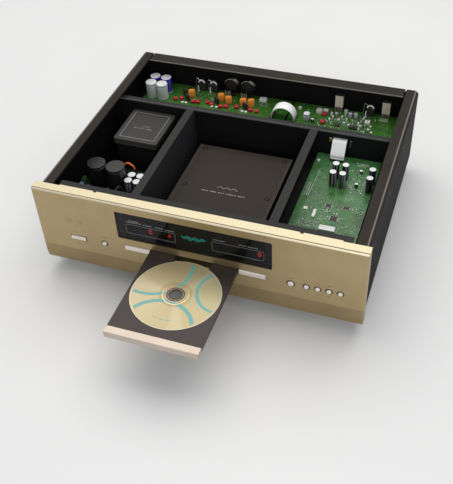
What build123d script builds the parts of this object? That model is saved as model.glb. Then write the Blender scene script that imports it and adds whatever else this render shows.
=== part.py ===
from build123d import *
import os
from math import acos, atan2, cos, pi, radians, sin, tan

# A full-width disc player with its top cover off and its tray out.
# Sizes are millimetres. X runs to the right, Y back from the panel's front face, Z up from the table.

# Case
panel_width = 465.0
foot_height = 22.0
sheet = 1.5
rear_bay_depth = 124.0
partition_gap = 29.0

# Front panel
panel_thickness = 17.7
panel_end_step = 1.7
panel_end_length = 36.5
panel_top_margin = 12.7
panel_strip_height = 28.5
panel_lean = 3.0
panel_edge_bevel = 1.6
panel_side_bevel = 1.5
panel_groove_back = 3.4
panel_groove_width = 0.9
panel_groove_depth = 0.6
panel_notch_x = 143.5
panel_notch_radius = 2.6
panel_notch_depth = 8.0

# Display
window_half = 109.5
window_bottom = 91.3
window_height = 47.0
window_corner = 2.5
window_recess = 1.2
glass_lap = 2.0
glass_thickness = 3.0
display_module_depth = 5.0
display_module_margin = 10.0
board_thickness = 1.6

# Tray and its slot
tray_half = 62.7
tray_bottom = 73.0
tray_thickness = 7.0
tray_front = 151.5
tray_rear = 70.0
tray_proud = 0.5
tray_corner = 0.8
lip_depth = 11.3
lip_height = 10.0
lip_round = 1.4
slot_gap = 0.4
disc_front_gap = 85.5
disc_radius = 60.0
disc_hole_radius = 7.5
disc_thickness = 1.2
recess_gap = 0.8
recess_depth = 2.2
small_recess_radius = 40.7
small_recess_depth = 1.0
tray_opening_half = 26.0
tray_opening_length = 80.0

# Buttons
bar_gap = 1.3
bar_length = 36.8
bar_height = 8.6
bar_round = 1.8
power_edge_gap = 49.0
power_width = 22.0
power_height = 6.8
power_gap = 1.1
button_z = 73.8
button_proud = 1.6
small_button_radius = 3.5
large_button_radius = 4.4
button_gap = 0.3
button_ring = 1.6
button_ring_depth = 1.2
button_dome = 1.1
side_button_edge_gap = 99.8
small_button_edge_gap = 31.8
small_button_pitch = 15.0
small_button_count = 4
large_button_gap = 20.9
button_travel = 1.2
flange_lap = 1.3
flange_thickness = 1.1
flange_gap = 0.05
pocket_depth = 10.7
pocket_edge_gap = 20.5
pocket_margin = 12.0
switch_height = 2.2
switch_size = 5.0
switch_gap = 0.3

# Side panels
side_inset = 2.5
side_wall = 3.0
side_flange_width = 18.3
side_flange_thickness = 3.0
side_drop = 5.5
side_bevel = 4.4

# Inner frame
base_thickness = 2.0
rear_wall = 2.0
rear_flange_depth = 22.0
rear_flange_gap = 2.2
partition_flange = 8.0
divider_x = 92.0
divider_flange = 12.2
inner_drop = 16.0
rail_drop = 11.0
rail_flange_depth = 21.3
rail_flange_gap = 5.7
rail_opening_side = 4.3
rail_opening_end = 3.5
cable_slot_gap = 32.0
cable_slot_width = 27.0
cable_slot_rise = 22.0
cable_slot_height = 10.0

# Feet
foot_radius = 25.0
foot_flange_radius = 28.0
foot_flange_height = 4.0
foot_round = 2.5
pad_radius = 20.0
pad_height = 2.0
foot_edge_gap = 54.5
foot_end_gap = 47.0

# Boards and the decks that carry them
board_top = 95.0
deck_drop = 7.0
standoff_radius = 3.0
board_inset = 6.0
main_board_side_gap = 25.0
main_board_divider_gap = 1.8
board_front_gap = 23.0
board_back_gap = 2.0
rear_board_front_gap = 10.0
rear_board_back_gap = 2.5
signal_board_side_gap = 15.0
digital_board_side_gap = 23.0
board_split_x = 33.0
board_split = 3.0
power_board_side_gap = 5.0
power_board_divider_gap = 7.8
power_board_back_gap = 7.0
power_board_top = 70.0

# Transformer
transformer_back_gap = 1.0
lid_width = 71.5
lid_depth = 82.0
lid_height = 8.0
lid_top = 119.0
lid_lap = 2.4
lid_seam = 1.2
lid_corner = 4.0

# Capacitors
large_cap_radius = 14.2
large_cap_height = 42.0
large_cap_pitch = 31.0
large_cap_edge_gap = 24.0
large_cap_back_gap = 48.0
small_cap_radius = 6.2
small_cap_height = 26.0
small_cap_pitch = 13.6
small_cap_offset = 28.5
main_cap_radius = 5.1
main_cap_height = 25.0
main_cap_edge_gap = 45.0
main_cap_back_gap = 60.5
main_cap_pitch_x = 14.0
main_cap_pitch_y = 20.0
supply_cap_radius = 9.0
supply_cap_height = 26.0
supply_cap_edge_gap = 22.5
supply_cap_back_gap = 34.0
supply_cap_pitch = 19.2
film_width = 11.0
film_depth = 6.5
film_height = 13.0
film_turn = 24.0
red_cap_radius = 3.7
red_cap_height = 5.0
transistor_width = 9.0
transistor_depth = 4.0
transistor_height = 11.0

# Parts on the supply board
film_block_width = 6.0
film_block_length = 10.0
film_block_height = 20.0
header_length = 18.0
header_width = 4.0
header_height = 14.0
regulator_width = 11.0
regulator_depth = 12.0
regulator_height = 26.0
sink_back = 4.0
sink_depth = 16.0
sink_inset = 18.0
sink_width = 42.0
sink_height = 22.0
sink_fin = 1.7
sink_fin_count = 8

# Flat cable, arched jumper and bridge wire
cable_width = 21.0
cable_thickness = 1.0
cable_foot_gap = 15.0
cable_foot_height = 4.5
jumper_offset = 3.0
jumper_radius = 19.0
jumper_leg = 1.5
jumper_width = 18.0
jumper_edge_gap = 53.0
jumper_foot_height = 2.5
jumper_foot_half = 3.0
wire_radius = 1.3
wire_rise = 35.0
wire_half_span = 9.0
wire_offset = 17.5
wire_back_gap = 8.0

# Loading and clamping
housing_wall = 4.0
housing_front = 32.0
housing_back_gap = 4.0
housing_flange_width = 12.5
housing_floor_gap = 6.0
housing_floor = 3.0
cover_overhang = 1.2
cover_thickness = 3.0
cover_bevel = 0.5
cover_screw_inset = 11.0
cover_screw_end = 9.0
screw_head_radius = 3.4
screw_head_depth = 1.8
screw_radius = 1.6
guide_wall = 5.4
guide_lap = 4.5
guide_gap = 0.4
guide_lip_gap = 0.05
guide_lip = 3.35
guide_upper_lip = 3.6
guide_end_gap = 7.0
bridge_half = 15.0
bridge_height = 4.0
bridge_hole_gap = 1.0
cover_room = 3.0
puck_radius = 15.0
puck_neck_radius = 9.0
puck_flange_radius = 13.0
puck_disc_gap = 0.2
puck_end_gap = 0.6
rack_module = 1.0
rack_height = 2.8
rack_width = 9.0
rack_inset = 15.7
pinion_teeth = 20
pinion_offset = 18.0
pinion_height = 2.4
tooth_backlash = 0.3
pressure_angle = radians(20)
belt_wheel_radius = 15.0
belt_wheel_height = 5.0
belt_wheel_gap = 1.2
belt_groove_depth = 1.2
belt_size = 1.5
belt_gap = 0.05
motor_wheel_radius = 5.0
loader_motor_offset = 11.5
loader_motor_radius = 11.5
loader_motor_gap = 4.0
shaft_radius = 1.0
post_radius = 2.0
post_end_gap = 0.2
running_gap = 0.05

# Disc drive unit, which rises into the disc
disc_raise = 1.5
hub_tray_gap = 0.5
pickup_tray_gap = 0.9
lens_disc_gap = 0.4
drive_plate_drop = 8.0
drive_plate_thickness = 3.0
drive_plate_half = 46.0
drive_plate_front_reach = 19.0
drive_plate_back_reach = 91.0
lift_post_inset = 6.0
lift_boss_radius = 4.5
lift_boss_height = 4.0
turntable_radius = 13.4
turntable_thickness = 2.5
hub_radius = 7.3
hub_height = 3.0
hub_bevel = 1.2
spindle_motor_radius = 13.0
pickup_inner_radius = 24.0
pickup_stroke = 34.0
pickup_length = 20.0
pickup_height = 4.3
lens_radius = 3.5
guide_shaft_radius = 1.5
guide_shaft_x = 24.0
guide_bearing_half = 3.6
shaft_block_half = 3.5
shaft_block_length = 4.0
shaft_block_height = 2.5
shaft_end_gap = 3.0
sled_module = 0.6
sled_teeth = 20
sled_gear_reach = 34.0
sled_rack_pitch_x = -31.0
sled_rack_width = 2.2
sled_rack_end = 3.0
sled_gear_height = 3.0
sled_motor_radius = 7.5
sled_motor_height = 13.0

# Lift cam
cam_travel = 14.0
cam_left = -30.0
cam_right = 24.0
cam_offset = 5.7
cam_thickness = 2.2
cam_height = 29.0
cam_pin_drop = 4.0
cam_pin_radius = 1.5
cam_slot_gap = 0.25
cam_rib_height = 6.0
cam_rib_thickness = 2.0
cam_rib_gap = 0.3

# Rear sockets
socket_rise = 13.0
rca_edge_gaps = (90.0, 111.0)
digital_rca_edge_gap = 43.0
rca_barrel_radius = 4.15
rca_barrel_length = 9.0
rca_hole_radius = 1.7
rca_flange_radius = 6.5
rca_flange = 1.0
rca_body_half = 5.5
rca_body_depth = 9.0
xlr_edge_gaps = (142.0, 170.0)
xlr_rise = 17.0
xlr_shell_radius = 11.5
xlr_bore_radius = 9.6
xlr_depth = 15.0
xlr_floor = 3.0
xlr_pin_radius = 1.2
xlr_pin_circle = 4.6
xlr_pin_length = 9.0
xlr_flange = 2.0
xlr_flange_width = 26.0
xlr_flange_height = 31.0
digital_edge_gaps = (94.0, 19.0)
digital_width = 12.5
digital_height = 14.5
digital_body_height = 28.5
digital_body_depth = 10.0
digital_rim = 2.0
digital_proud = 1.5
digital_recess = 1.0
inlet_side_gap = 57.0
inlet_z = 56.0
inlet_width = 27.0
inlet_height = 19.5
inlet_wall = 1.5
inlet_cavity_depth = 17.0
inlet_floor = 2.0
inlet_flange = 2.0
inlet_flange_side = 10.0
inlet_pin_recess = 6.0
socket_corner = 3.0

# Values that follow from the sizes above
half_width = panel_width / 2
window_top = window_bottom + window_height
overall_height = window_top + panel_top_margin
panel_bend_z = foot_height + panel_strip_height
panel_step_half = half_width - panel_end_length
pocket_outer = half_width - pocket_edge_gap
pocket_bottom = button_z - pocket_margin
pocket_top = button_z + pocket_margin
side_outer = half_width - side_inset
case_inner = side_outer - side_wall
side_flange_inner = side_outer - side_flange_width
side_top = overall_height - side_drop
rear_flange_half = side_flange_inner - rear_flange_gap
rail_flange_half = side_flange_inner - rail_flange_gap
inner_top = overall_height - inner_drop
rail_top = overall_height - rail_drop
rail_back = panel_thickness + rail_flange_depth
rail_opening_half = tray_half + rail_opening_side
base_top = foot_height + base_thickness
end_back = panel_thickness - panel_end_step
tray_top = tray_bottom + tray_thickness
lip_top = tray_top + slot_gap / 2
lip_bottom = lip_top - lip_height
rail_opening_bottom = lip_bottom - rail_opening_end
rail_opening_top = lip_top + rail_opening_end
bar_inner = tray_half + bar_gap
bar_outer = bar_inner + bar_length
slot_half = bar_outer + slot_gap
slot_bottom = lip_bottom - slot_gap
slot_top = lip_top + slot_gap
bar_z = (slot_bottom + slot_top) / 2
power_left = power_edge_gap - half_width
power_right = power_left + power_width
side_button_x = side_button_edge_gap - half_width
small_button_last_x = half_width - small_button_edge_gap
small_button_first_x = small_button_last_x - (small_button_count - 1) * small_button_pitch
large_button_x = small_button_first_x - large_button_gap
pocket_front = panel_thickness - pocket_depth
glass_front = window_recess
glass_back = glass_front + glass_thickness
flange_front = pocket_front + flange_gap
flange_back = flange_front + flange_thickness
switch_front = flange_back + button_travel + switch_gap
switch_board_front = switch_front + switch_height

tray_travel = tray_front - tray_proud
disc_y = disc_front_gap - tray_front
disc_home_y = disc_y + tray_travel
disc_bottom = tray_top - recess_depth
housing_inner = tray_half + guide_gap + guide_wall
housing_outer = housing_inner + housing_wall
housing_flange_inner = housing_inner - housing_flange_width
housing_back = tray_rear + tray_travel + housing_back_gap + housing_wall
housing_floor_bottom = base_top + housing_floor_gap
housing_floor_top = housing_floor_bottom + housing_floor
guide_bottom = tray_bottom - guide_lip_gap - guide_lip
guide_top = tray_top + guide_gap + guide_upper_lip
guide_back = housing_back - guide_end_gap
bridge_top = guide_top + bridge_height
cover_bottom = bridge_top + cover_room
cover_top = cover_bottom + cover_thickness
cover_half = housing_outer + cover_overhang
cover_screw_x = cover_half - cover_screw_inset
cover_screw_ys = (
    housing_front + cover_screw_end,
    (housing_front + housing_back) / 2,
    housing_back - cover_screw_end,
)
puck_bottom = disc_bottom + disc_raise + disc_thickness + puck_disc_gap

rack_bottom = tray_bottom - rack_height
rack_pitch_x = tray_half - rack_inset
rack_back_x = rack_pitch_x + rack_width
pinion_radius = rack_module * pinion_teeth / 2
pinion_x = rack_pitch_x - pinion_radius
pinion_y = housing_front + pinion_offset
pinion_bottom = rack_bottom + (rack_height - pinion_height) / 2
belt_wheel_top = rack_bottom - belt_wheel_gap
belt_wheel_bottom = belt_wheel_top - belt_wheel_height
belt_z = (belt_wheel_top + belt_wheel_bottom) / 2
loader_motor_y = housing_front + loader_motor_offset
loader_motor_top = belt_wheel_bottom - loader_motor_gap

seat_down_z = tray_bottom - hub_tray_gap - hub_height
lift_travel = disc_bottom + disc_raise - seat_down_z
pickup_top = tray_bottom - lift_travel - pickup_tray_gap
pickup_bottom = pickup_top - pickup_height
lens_top = disc_bottom - lens_disc_gap - lift_travel
guide_shaft_z = (pickup_top + pickup_bottom) / 2
pickup_y = disc_home_y + pickup_inner_radius
shaft_front = pickup_y - pickup_length / 2 - shaft_end_gap - shaft_block_length
shaft_back = pickup_y + pickup_stroke + pickup_length / 2 + shaft_end_gap + shaft_block_length
drive_plate_bottom = pickup_bottom - drive_plate_drop
drive_plate_top = drive_plate_bottom + drive_plate_thickness
drive_plate_front = disc_home_y - drive_plate_front_reach
drive_plate_back = disc_home_y + drive_plate_back_reach
lift_post_x = drive_plate_half - lift_post_inset
lift_post_ys = (drive_plate_front + lift_post_inset, drive_plate_back - lift_post_inset)
lift_boss_top = drive_plate_top + lift_boss_height
sled_radius = sled_module * sled_teeth / 2
sled_gear_x = sled_rack_pitch_x - sled_radius
sled_gear_y = disc_home_y + sled_gear_reach
sled_gear_bottom = pickup_bottom
sled_gear_top = sled_gear_bottom + sled_gear_height
cam_front = drive_plate_front - cam_offset
cam_back = cam_front + cam_thickness
cam_pin_z = drive_plate_bottom - cam_pin_drop
cam_top = housing_floor_top + cam_height

partition_y = housing_back + partition_gap
rear_face = partition_y + rear_bay_depth
rear_inner = rear_face - rear_wall
foot_x = half_width - foot_edge_gap
foot_ys = (foot_end_gap, rear_face - foot_end_gap)
deck_top = board_top - deck_drop
board_bottom = board_top - board_thickness
main_board_left = divider_x + divider_flange + main_board_divider_gap
main_board_right = case_inner - main_board_side_gap
board_front = panel_thickness + sheet + board_front_gap
main_board_back = partition_y - board_back_gap
rear_board_front = partition_y + rear_board_front_gap
rear_board_back = rear_inner - rear_board_back_gap
signal_board_left = signal_board_side_gap - case_inner
signal_board_right = board_split_x
digital_board_left = board_split_x + board_split
digital_board_right = case_inner - digital_board_side_gap
power_board_left = power_board_side_gap - case_inner
power_board_right = -divider_x - divider_flange - power_board_divider_gap
power_board_bottom = power_board_top - board_thickness
transformer_x = -(case_inner + divider_x) / 2
transformer_y = partition_y - transformer_back_gap - lid_depth / 2
power_board_back = transformer_y - lid_depth / 2 - power_board_back_gap
large_cap_y = power_board_back - large_cap_back_gap
large_cap_x = power_board_left + large_cap_edge_gap
small_cap_x = large_cap_x + large_cap_pitch + small_cap_offset
small_cap_y = large_cap_y
small_cap_back = small_cap_y + small_cap_pitch / 2 + small_cap_radius
main_cap_x = main_board_left + main_cap_edge_gap
main_cap_y = main_board_back - main_cap_back_gap
supply_cap_x = signal_board_left + supply_cap_edge_gap
supply_cap_y = rear_board_back - supply_cap_back_gap
cable_slot_left = divider_x + cable_slot_gap
cable_slot_right = cable_slot_left + cable_slot_width
cable_slot_bottom = board_top + cable_slot_rise
cable_slot_top = cable_slot_bottom + cable_slot_height
cable_left = (cable_slot_left + cable_slot_right - cable_width) / 2
cable_right = cable_left + cable_width
cable_foot_y = partition_y - cable_foot_gap
jumper_x = board_split_x - jumper_offset
jumper_front = rear_board_front + jumper_edge_gap

socket_z = board_top + socket_rise
rca_xs = [signal_board_left + gap for gap in rca_edge_gaps] + [digital_board_right - digital_rca_edge_gap]
xlr_z = board_top + xlr_rise
xlr_xs = [signal_board_left + gap for gap in xlr_edge_gaps]
digital_xs = [digital_board_right - gap for gap in digital_edge_gaps]
inlet_x = inlet_side_gap - case_inner
rear_most = rear_face + rca_flange + rca_barrel_length
origin_y = (rear_most - tray_front) / 2

# Parts on the boards: how far right and back of the board's left front corner
film_places = [(79, 79), (130, 81), (144.5, 76), (169.5, 76), (182.5, 78)]
red_places = [(56, 63), (65, 67), (87, 63), (95, 64), (111, 67), (119, 63), (135, 61), (144, 63),
              (161, 67), (185, 64), (196, 63)]
digital_red_places = [(55, 85), (57, 63)]
transistor_places = [(67, 80), (76, 66), (126, 70), (176, 67)]
# Low blocks: left, right, front, back and height
main_blocks = [(39, 49, 93, 102, 1.6), (63.5, 74.5, 95, 102.5, 1.6), (51, 63, 67, 78, 1.8),
               (26.5, 31, 67, 84, 3.0), (11.5, 17, 81, 86.5, 1.6), (42, 64, 45.5, 55, 2.4),
               (3.5, 9.5, 110, 140, 1.6), (3.5, 7.5, 191.5, 195.5, 2.5)]
signal_blocks = [(191, 203, 94, 103, 6.0)]
digital_blocks = [(41, 50, 86, 95, 8.0), (50.6, 58.5, 94.5, 99.5, 5.0), (76, 86, 59, 67, 2.0),
                  (100, 112, 58, 65, 4.0), (121, 129, 77, 85, 5.0)]
# Round parts: right, back, height and radius
main_rounds = [(72, 148.5, 6.0, 2.4), (72, 181, 5.0, 2.6)]
digital_rounds = [(31, 65, 13.0, 5.2), (95.5, 91, 7.0, 3.2), (104, 92, 7.0, 3.2), (13, 92, 3.5, 3.0),
                  (41, 62, 6.0, 2.4), (87, 98, 7.0, 2.8)]


def block(x0, x1, y0, y1, z0, z1):
    """A box between two corners."""
    return Pos((x0 + x1) / 2, (y0 + y1) / 2, (z0 + z1) / 2) * Box(x1 - x0, y1 - y0, z1 - z0)


def rod(x, y, z0, z1, radius):
    """An upright cylinder."""
    return Pos(x, y, (z0 + z1) / 2) * Cylinder(radius, z1 - z0)


def rod_y(x, z, y0, y1, radius):
    """A cylinder that runs from front to back."""
    return Pos(x, (y0 + y1) / 2, z) * Rot(90, 0, 0) * Cylinder(radius, y1 - y0)


def prism_x(points, x0, x1):
    """A (y, z) outline carried from x0 to x1."""
    face = make_face(Polyline(*points, close=True))
    return Pos(x0, 0, 0) * extrude(Plane.YZ * face, amount=x1 - x0)


def prism_y(points, y0, y1):
    """An (x, z) outline carried from y0 to y1."""
    face = make_face(Polyline(*points, close=True))
    return Pos(0, y1, 0) * extrude(Plane.XZ * face, amount=y1 - y0)


def plate_y(x, z, width, height, y0, y1, corner):
    """A round-cornered plate that faces the front, between two depths."""
    face = RectangleRounded(width, height, corner)
    return Pos(x, y1, z) * extrude(Plane.XZ * face, amount=y1 - y0)


def plate_z(x, y, width, depth, z0, z1, corner):
    """A round-cornered plate that lies flat, between two heights."""
    return Pos(x, y, z0) * extrude(RectangleRounded(width, depth, corner), amount=z1 - z0)


def gear_blank(module, teeth, height):
    """Spur gear: involute flanks from the base circle, straight from there to the root."""
    pitch = module * teeth / 2
    base = pitch * cos(pressure_angle)
    tip = pitch + 0.95 * module
    root = pitch - 1.25 * module
    half_tooth = (pi * module / 2 - tooth_backlash) / (2 * pitch)
    involute_at_pitch = tan(pressure_angle) - pressure_angle
    steps = [base + (tip - base) * share for share in (0, 0.35, 0.7, 1)]
    flank = []
    for radius in steps:
        turn = acos(base / radius)
        flank.append((radius, half_tooth + involute_at_pitch - (tan(turn) - turn)))
    flank = [(root, flank[0][1])] + flank
    points = []
    for number in range(teeth):
        centre = (number + 0.5) * 2 * pi / teeth
        for radius, half in flank:
            points.append((radius * cos(centre - half), radius * sin(centre - half)))
        for radius, half in reversed(flank):
            points.append((radius * cos(centre + half), radius * sin(centre + half)))
    return extrude(make_face(Polyline(*points, close=True)), amount=height)


def rack_bar(module, pitch_x, back_x, y_tooth, y0, y1, z0, height):
    """Straight rack whose teeth point to -X, with one tooth centred at y_tooth."""
    pitch = pi * module
    tip_x = pitch_x - 0.95 * module
    root_x = pitch_x + 1.25 * module
    half = (pitch / 2 - tooth_backlash) / 2
    half_tip = half - 0.95 * module * tan(pressure_angle)
    half_root = half + 1.25 * module * tan(pressure_angle)
    first = -int((y_tooth - y0 - half_root) / pitch)
    last = int((y1 - y_tooth - half_root) / pitch)
    points = [(back_x, y1), (back_x, y0), (root_x, y0)]
    for number in range(first, last + 1):
        y = y_tooth + number * pitch
        points += [(root_x, y - half_root), (tip_x, y - half_tip)]
        points += [(tip_x, y + half_tip), (root_x, y + half_root)]
    points.append((root_x, y1))
    return Pos(0, 0, z0) * extrude(make_face(Polyline(*points, close=True)), amount=height)


def belt_face(x1, y1, r1, x2, y2, r2):
    """The area inside an open belt round two circles."""
    along = atan2(y2 - y1, x2 - x1)
    distance = ((x2 - x1) ** 2 + (y2 - y1) ** 2) ** 0.5
    lean = acos((r1 - r2) / distance)

    def on(x, y, r, angle):
        return (x + r * cos(angle), y + r * sin(angle))

    start, end = on(x1, y1, r1, along + lean), on(x2, y2, r2, along + lean)
    other_end, other_start = on(x2, y2, r2, along - lean), on(x1, y1, r1, along - lean)
    edges = [
        Line(start, end),
        ThreePointArc(end, on(x2, y2, r2, along), other_end),
        Line(other_end, other_start),
        ThreePointArc(other_start, on(x1, y1, r1, along + pi), start),
    ]
    return make_face(edges)


def mirrored(solid):
    """The same solid on the other side of the middle plane."""
    return mirror(solid, about=Plane.YZ)


def front_panel():
    """Thick gold panel: bent face, display window, tray slot, button holes and switch pockets."""
    body = prism_x(
        [
            (panel_lean, foot_height),
            (0, panel_bend_z),
            (0, overall_height - panel_edge_bevel),
            (panel_edge_bevel, overall_height),
            (panel_thickness, overall_height),
            (panel_thickness, foot_height),
        ],
        -half_width,
        half_width,
    )
    corner = make_face(
        Polyline(
            (half_width - panel_side_bevel, 0),
            (half_width, 0),
            (half_width, panel_side_bevel),
            close=True,
        )
    )
    edge = Pos(0, 0, foot_height) * extrude(corner, amount=overall_height - foot_height)
    body -= edge + mirrored(edge)
    groove_bottom = overall_height - panel_groove_depth
    groove_front = panel_groove_back - panel_groove_width
    body -= block(-half_width, half_width, groove_front, panel_groove_back, groove_bottom, overall_height)
    step = block(panel_step_half, half_width, end_back, panel_thickness, foot_height, overall_height)
    notch = rod(panel_notch_x, panel_thickness, overall_height - panel_notch_depth, overall_height,
                panel_notch_radius)
    body -= step + mirrored(step) + notch + mirrored(notch)

    window_z = (window_bottom + window_top) / 2
    body -= plate_y(0, window_z, 2 * window_half, window_height, 0, panel_thickness, window_corner)
    body -= plate_y(0, window_z, 2 * (window_half + glass_lap), window_height + 2 * glass_lap,
                    glass_front, panel_thickness, window_corner)

    body -= block(-slot_half, slot_half, 0, panel_thickness, slot_bottom, slot_top)
    hole = power_height + 2 * power_gap
    body -= block(power_left - power_gap, power_right + power_gap, 0, pocket_front,
                  button_z - hole / 2, button_z + hole / 2)
    for x, radius in round_buttons():
        body -= rod_y(x, button_z, 0, button_ring_depth, radius + button_ring)
        body -= rod_y(x, button_z, 0, pocket_front, radius + button_gap)
    pocket = block(bar_inner, pocket_outer, pocket_front, panel_thickness, pocket_bottom, pocket_top)
    body -= pocket + mirrored(pocket)
    return [body]


def round_buttons():
    """Centre and radius of each round button, from left to right."""
    small = [small_button_first_x + number * small_button_pitch for number in range(small_button_count)]
    return ([(side_button_x, small_button_radius), (large_button_x, large_button_radius)]
            + [(x, small_button_radius) for x in small])


def display_window():
    """Dark glass, seated against the ledge behind the window."""
    return [plate_y(0, (window_bottom + window_top) / 2, 2 * (window_half + glass_lap),
                    window_height + 2 * glass_lap, glass_front, glass_back, window_corner)]


def display_board():
    """Display module against the glass, and the board behind it."""
    module_back = glass_back + display_module_depth
    module = block(-window_half + display_module_margin, window_half - display_module_margin,
                   glass_back, module_back, window_bottom + 2, window_top - 2)
    board = block(-window_half, window_half, module_back, module_back + board_thickness,
                  window_bottom, window_top)
    return [module, board]


def switch_boards():
    """Two boards that fill the panel's pockets, with one small switch behind each button."""
    board_back = switch_board_front + board_thickness
    solids = [
        block(bar_inner, pocket_outer, switch_board_front, board_back, pocket_bottom, pocket_top),
        block(-pocket_outer, -bar_inner, switch_board_front, board_back, pocket_bottom, pocket_top),
    ]
    bar_x = (bar_inner + bar_outer) / 2
    places = [(x, button_z) for x, _ in round_buttons()]
    places += [((power_left + power_right) / 2, button_z), (bar_x, bar_z), (-bar_x, bar_z)]
    for x, z in places:
        solids.append(block(x - switch_size / 2, x + switch_size / 2, switch_front, switch_board_front,
                            z - switch_size / 2, z + switch_size / 2))
    return solids


def bar_button(x0, x1, z, height, inner_lap, outer_lap):
    """Long button with a round nose, and a flange that stays behind the panel."""
    nose = block(x0, x1, -button_proud, flange_front, z - height / 2, z + height / 2)
    nose = fillet(nose.faces().sort_by(Axis.Y)[0].edges().filter_by(Axis.X), bar_round)
    flange_half = (slot_top - slot_bottom) / 2 + flange_lap
    flange = block(x0 - inner_lap, x1 + outer_lap, flange_front, flange_back,
                   z - flange_half, z + flange_half)
    return [nose + flange]


def round_button(x, radius):
    """Domed round button with a flange behind the panel."""
    cap = rod_y(x, button_z, -button_proud, flange_front, radius)
    cap = fillet(cap.faces().sort_by(Axis.Y)[0].edges(), button_dome)
    return [cap + rod_y(x, button_z, flange_front, flange_back, radius + flange_lap)]


def side_panel():
    """Right-hand side: outer wall and wide top flange with a bevelled corner."""
    profile = [
        (case_inner, foot_height),
        (side_outer, foot_height),
        (side_outer, side_top - side_bevel),
        (side_outer - side_bevel, side_top),
        (side_flange_inner, side_top),
        (side_flange_inner, side_top - side_flange_thickness),
        (case_inner, side_top - side_flange_thickness),
    ]
    return prism_y(profile, end_back, rear_face)


def socket_cuts():
    """Holes in the rear panel, one for each socket body."""
    cuts = [rod_y(x, socket_z, rear_inner, rear_face, rca_barrel_radius) for x in rca_xs]
    cuts += [rod_y(x, xlr_z, rear_inner, rear_face, xlr_shell_radius) for x in xlr_xs]
    for x in digital_xs:
        cuts.append(block(x - digital_width / 2, x + digital_width / 2, rear_inner, rear_face,
                          socket_z - digital_height / 2, socket_z + digital_height / 2))
    cuts.append(block(inlet_x - inlet_width / 2, inlet_x + inlet_width / 2, rear_inner, rear_face,
                      inlet_z - inlet_height / 2, inlet_z + inlet_height / 2))
    return cuts


def rear_panel():
    """Back wall between the side panels, with a wide flange on top."""
    wall_top = side_top - side_flange_thickness
    body = block(-case_inner, case_inner, rear_inner, rear_face, foot_height, wall_top)
    body += block(-rear_flange_half, rear_flange_half, rear_inner, rear_face, wall_top, side_top)
    body += block(-rear_flange_half, rear_flange_half, rear_face - rear_flange_depth, rear_inner,
                  side_top - sheet, side_top)
    for cut in socket_cuts():
        body -= cut
    return [body]


def base_plate():
    """Flat base between the side panels."""
    return [block(-case_inner, case_inner, panel_thickness, rear_inner, foot_height, base_top)]


def front_rail():
    """Inner front wall with a flange on top and an opening for the tray."""
    body = block(-case_inner, case_inner, panel_thickness, panel_thickness + sheet,
                 base_top, rail_top - sheet)
    body += block(-rail_flange_half, rail_flange_half, panel_thickness, rail_back, rail_top - sheet, rail_top)
    body -= block(-rail_opening_half, rail_opening_half, panel_thickness, panel_thickness + sheet,
                  rail_opening_bottom, rail_opening_top)
    return [body]


def partition():
    """Wall in front of the rear bay, with a flange on top and a slot for the flat cable."""
    body = block(-case_inner, case_inner, partition_y, partition_y + sheet, base_top, inner_top)
    body += block(-case_inner, case_inner, partition_y + sheet, partition_y + partition_flange,
                  inner_top - sheet, inner_top)
    body -= block(cable_slot_left, cable_slot_right, partition_y, partition_y + sheet,
                  cable_slot_bottom, cable_slot_top)
    return [body]


def long_dividers():
    """Walls on both sides of the middle bay, each with an outward flange on top."""
    front = panel_thickness + sheet
    right = block(divider_x, divider_x + sheet, front, partition_y, base_top, inner_top)
    right += block(divider_x + sheet, divider_x + divider_flange, front, partition_y,
                   inner_top - sheet, inner_top)
    return [right, mirrored(right)]


def foot_places():
    """Centre of each foot."""
    return [(x, y) for x in (-foot_x, foot_x) for y in foot_ys]


def feet():
    """Four round metal feet with a flange under the base."""
    solids = []
    for x, y in foot_places():
        foot = rod(x, y, pad_height, foot_height - foot_flange_height, foot_radius)
        foot = fillet(foot.faces().sort_by(Axis.Z)[0].edges(), foot_round)
        solids.append(foot + rod(x, y, foot_height - foot_flange_height, foot_height, foot_flange_radius))
    return solids


def foot_pads():
    """Soft pads that meet the table."""
    return [rod(x, y, 0, pad_height, pad_radius) for x, y in foot_places()]


def transformer_case():
    """Potted transformer case with a narrow seam under its lid."""
    lid_bottom = lid_top - lid_height
    width, depth = lid_width - 2 * lid_lap, lid_depth - 2 * lid_lap
    body = plate_z(transformer_x, transformer_y, width, depth, base_top, lid_bottom - lid_seam, lid_corner)
    body += plate_z(transformer_x, transformer_y, width - 3, depth - 3, lid_bottom - lid_seam, lid_bottom,
                    lid_corner)
    return [body]


def transformer_lid():
    """Lid that stands proud of the case all round."""
    lid = plate_z(transformer_x, transformer_y, lid_width, lid_depth, lid_top - lid_height, lid_top,
                  lid_corner)
    return [fillet(lid.faces().sort_by(Axis.Z)[-1].edges(), 1.0)]


def power_board():
    """Supply board under the large capacitors."""
    return [block(power_board_left, power_board_right, board_front, power_board_back,
                  power_board_bottom, power_board_top)]


def power_capacitors():
    """Two large and four small capacitors on the supply board."""
    large_top = power_board_top + large_cap_height
    small_top = power_board_top + small_cap_height
    solids = [rod(x, large_cap_y, power_board_top, large_top, large_cap_radius)
              for x in (large_cap_x, large_cap_x + large_cap_pitch)]
    solids = [fillet(s.faces().sort_by(Axis.Z)[-1].edges(), 1.2) for s in solids]
    for side_x in (-0.5, 0.5):
        for side_y in (-0.5, 0.5):
            solids.append(rod(small_cap_x + side_x * small_cap_pitch, small_cap_y + side_y * small_cap_pitch,
                              power_board_top, small_top, small_cap_radius))
    return solids


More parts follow.
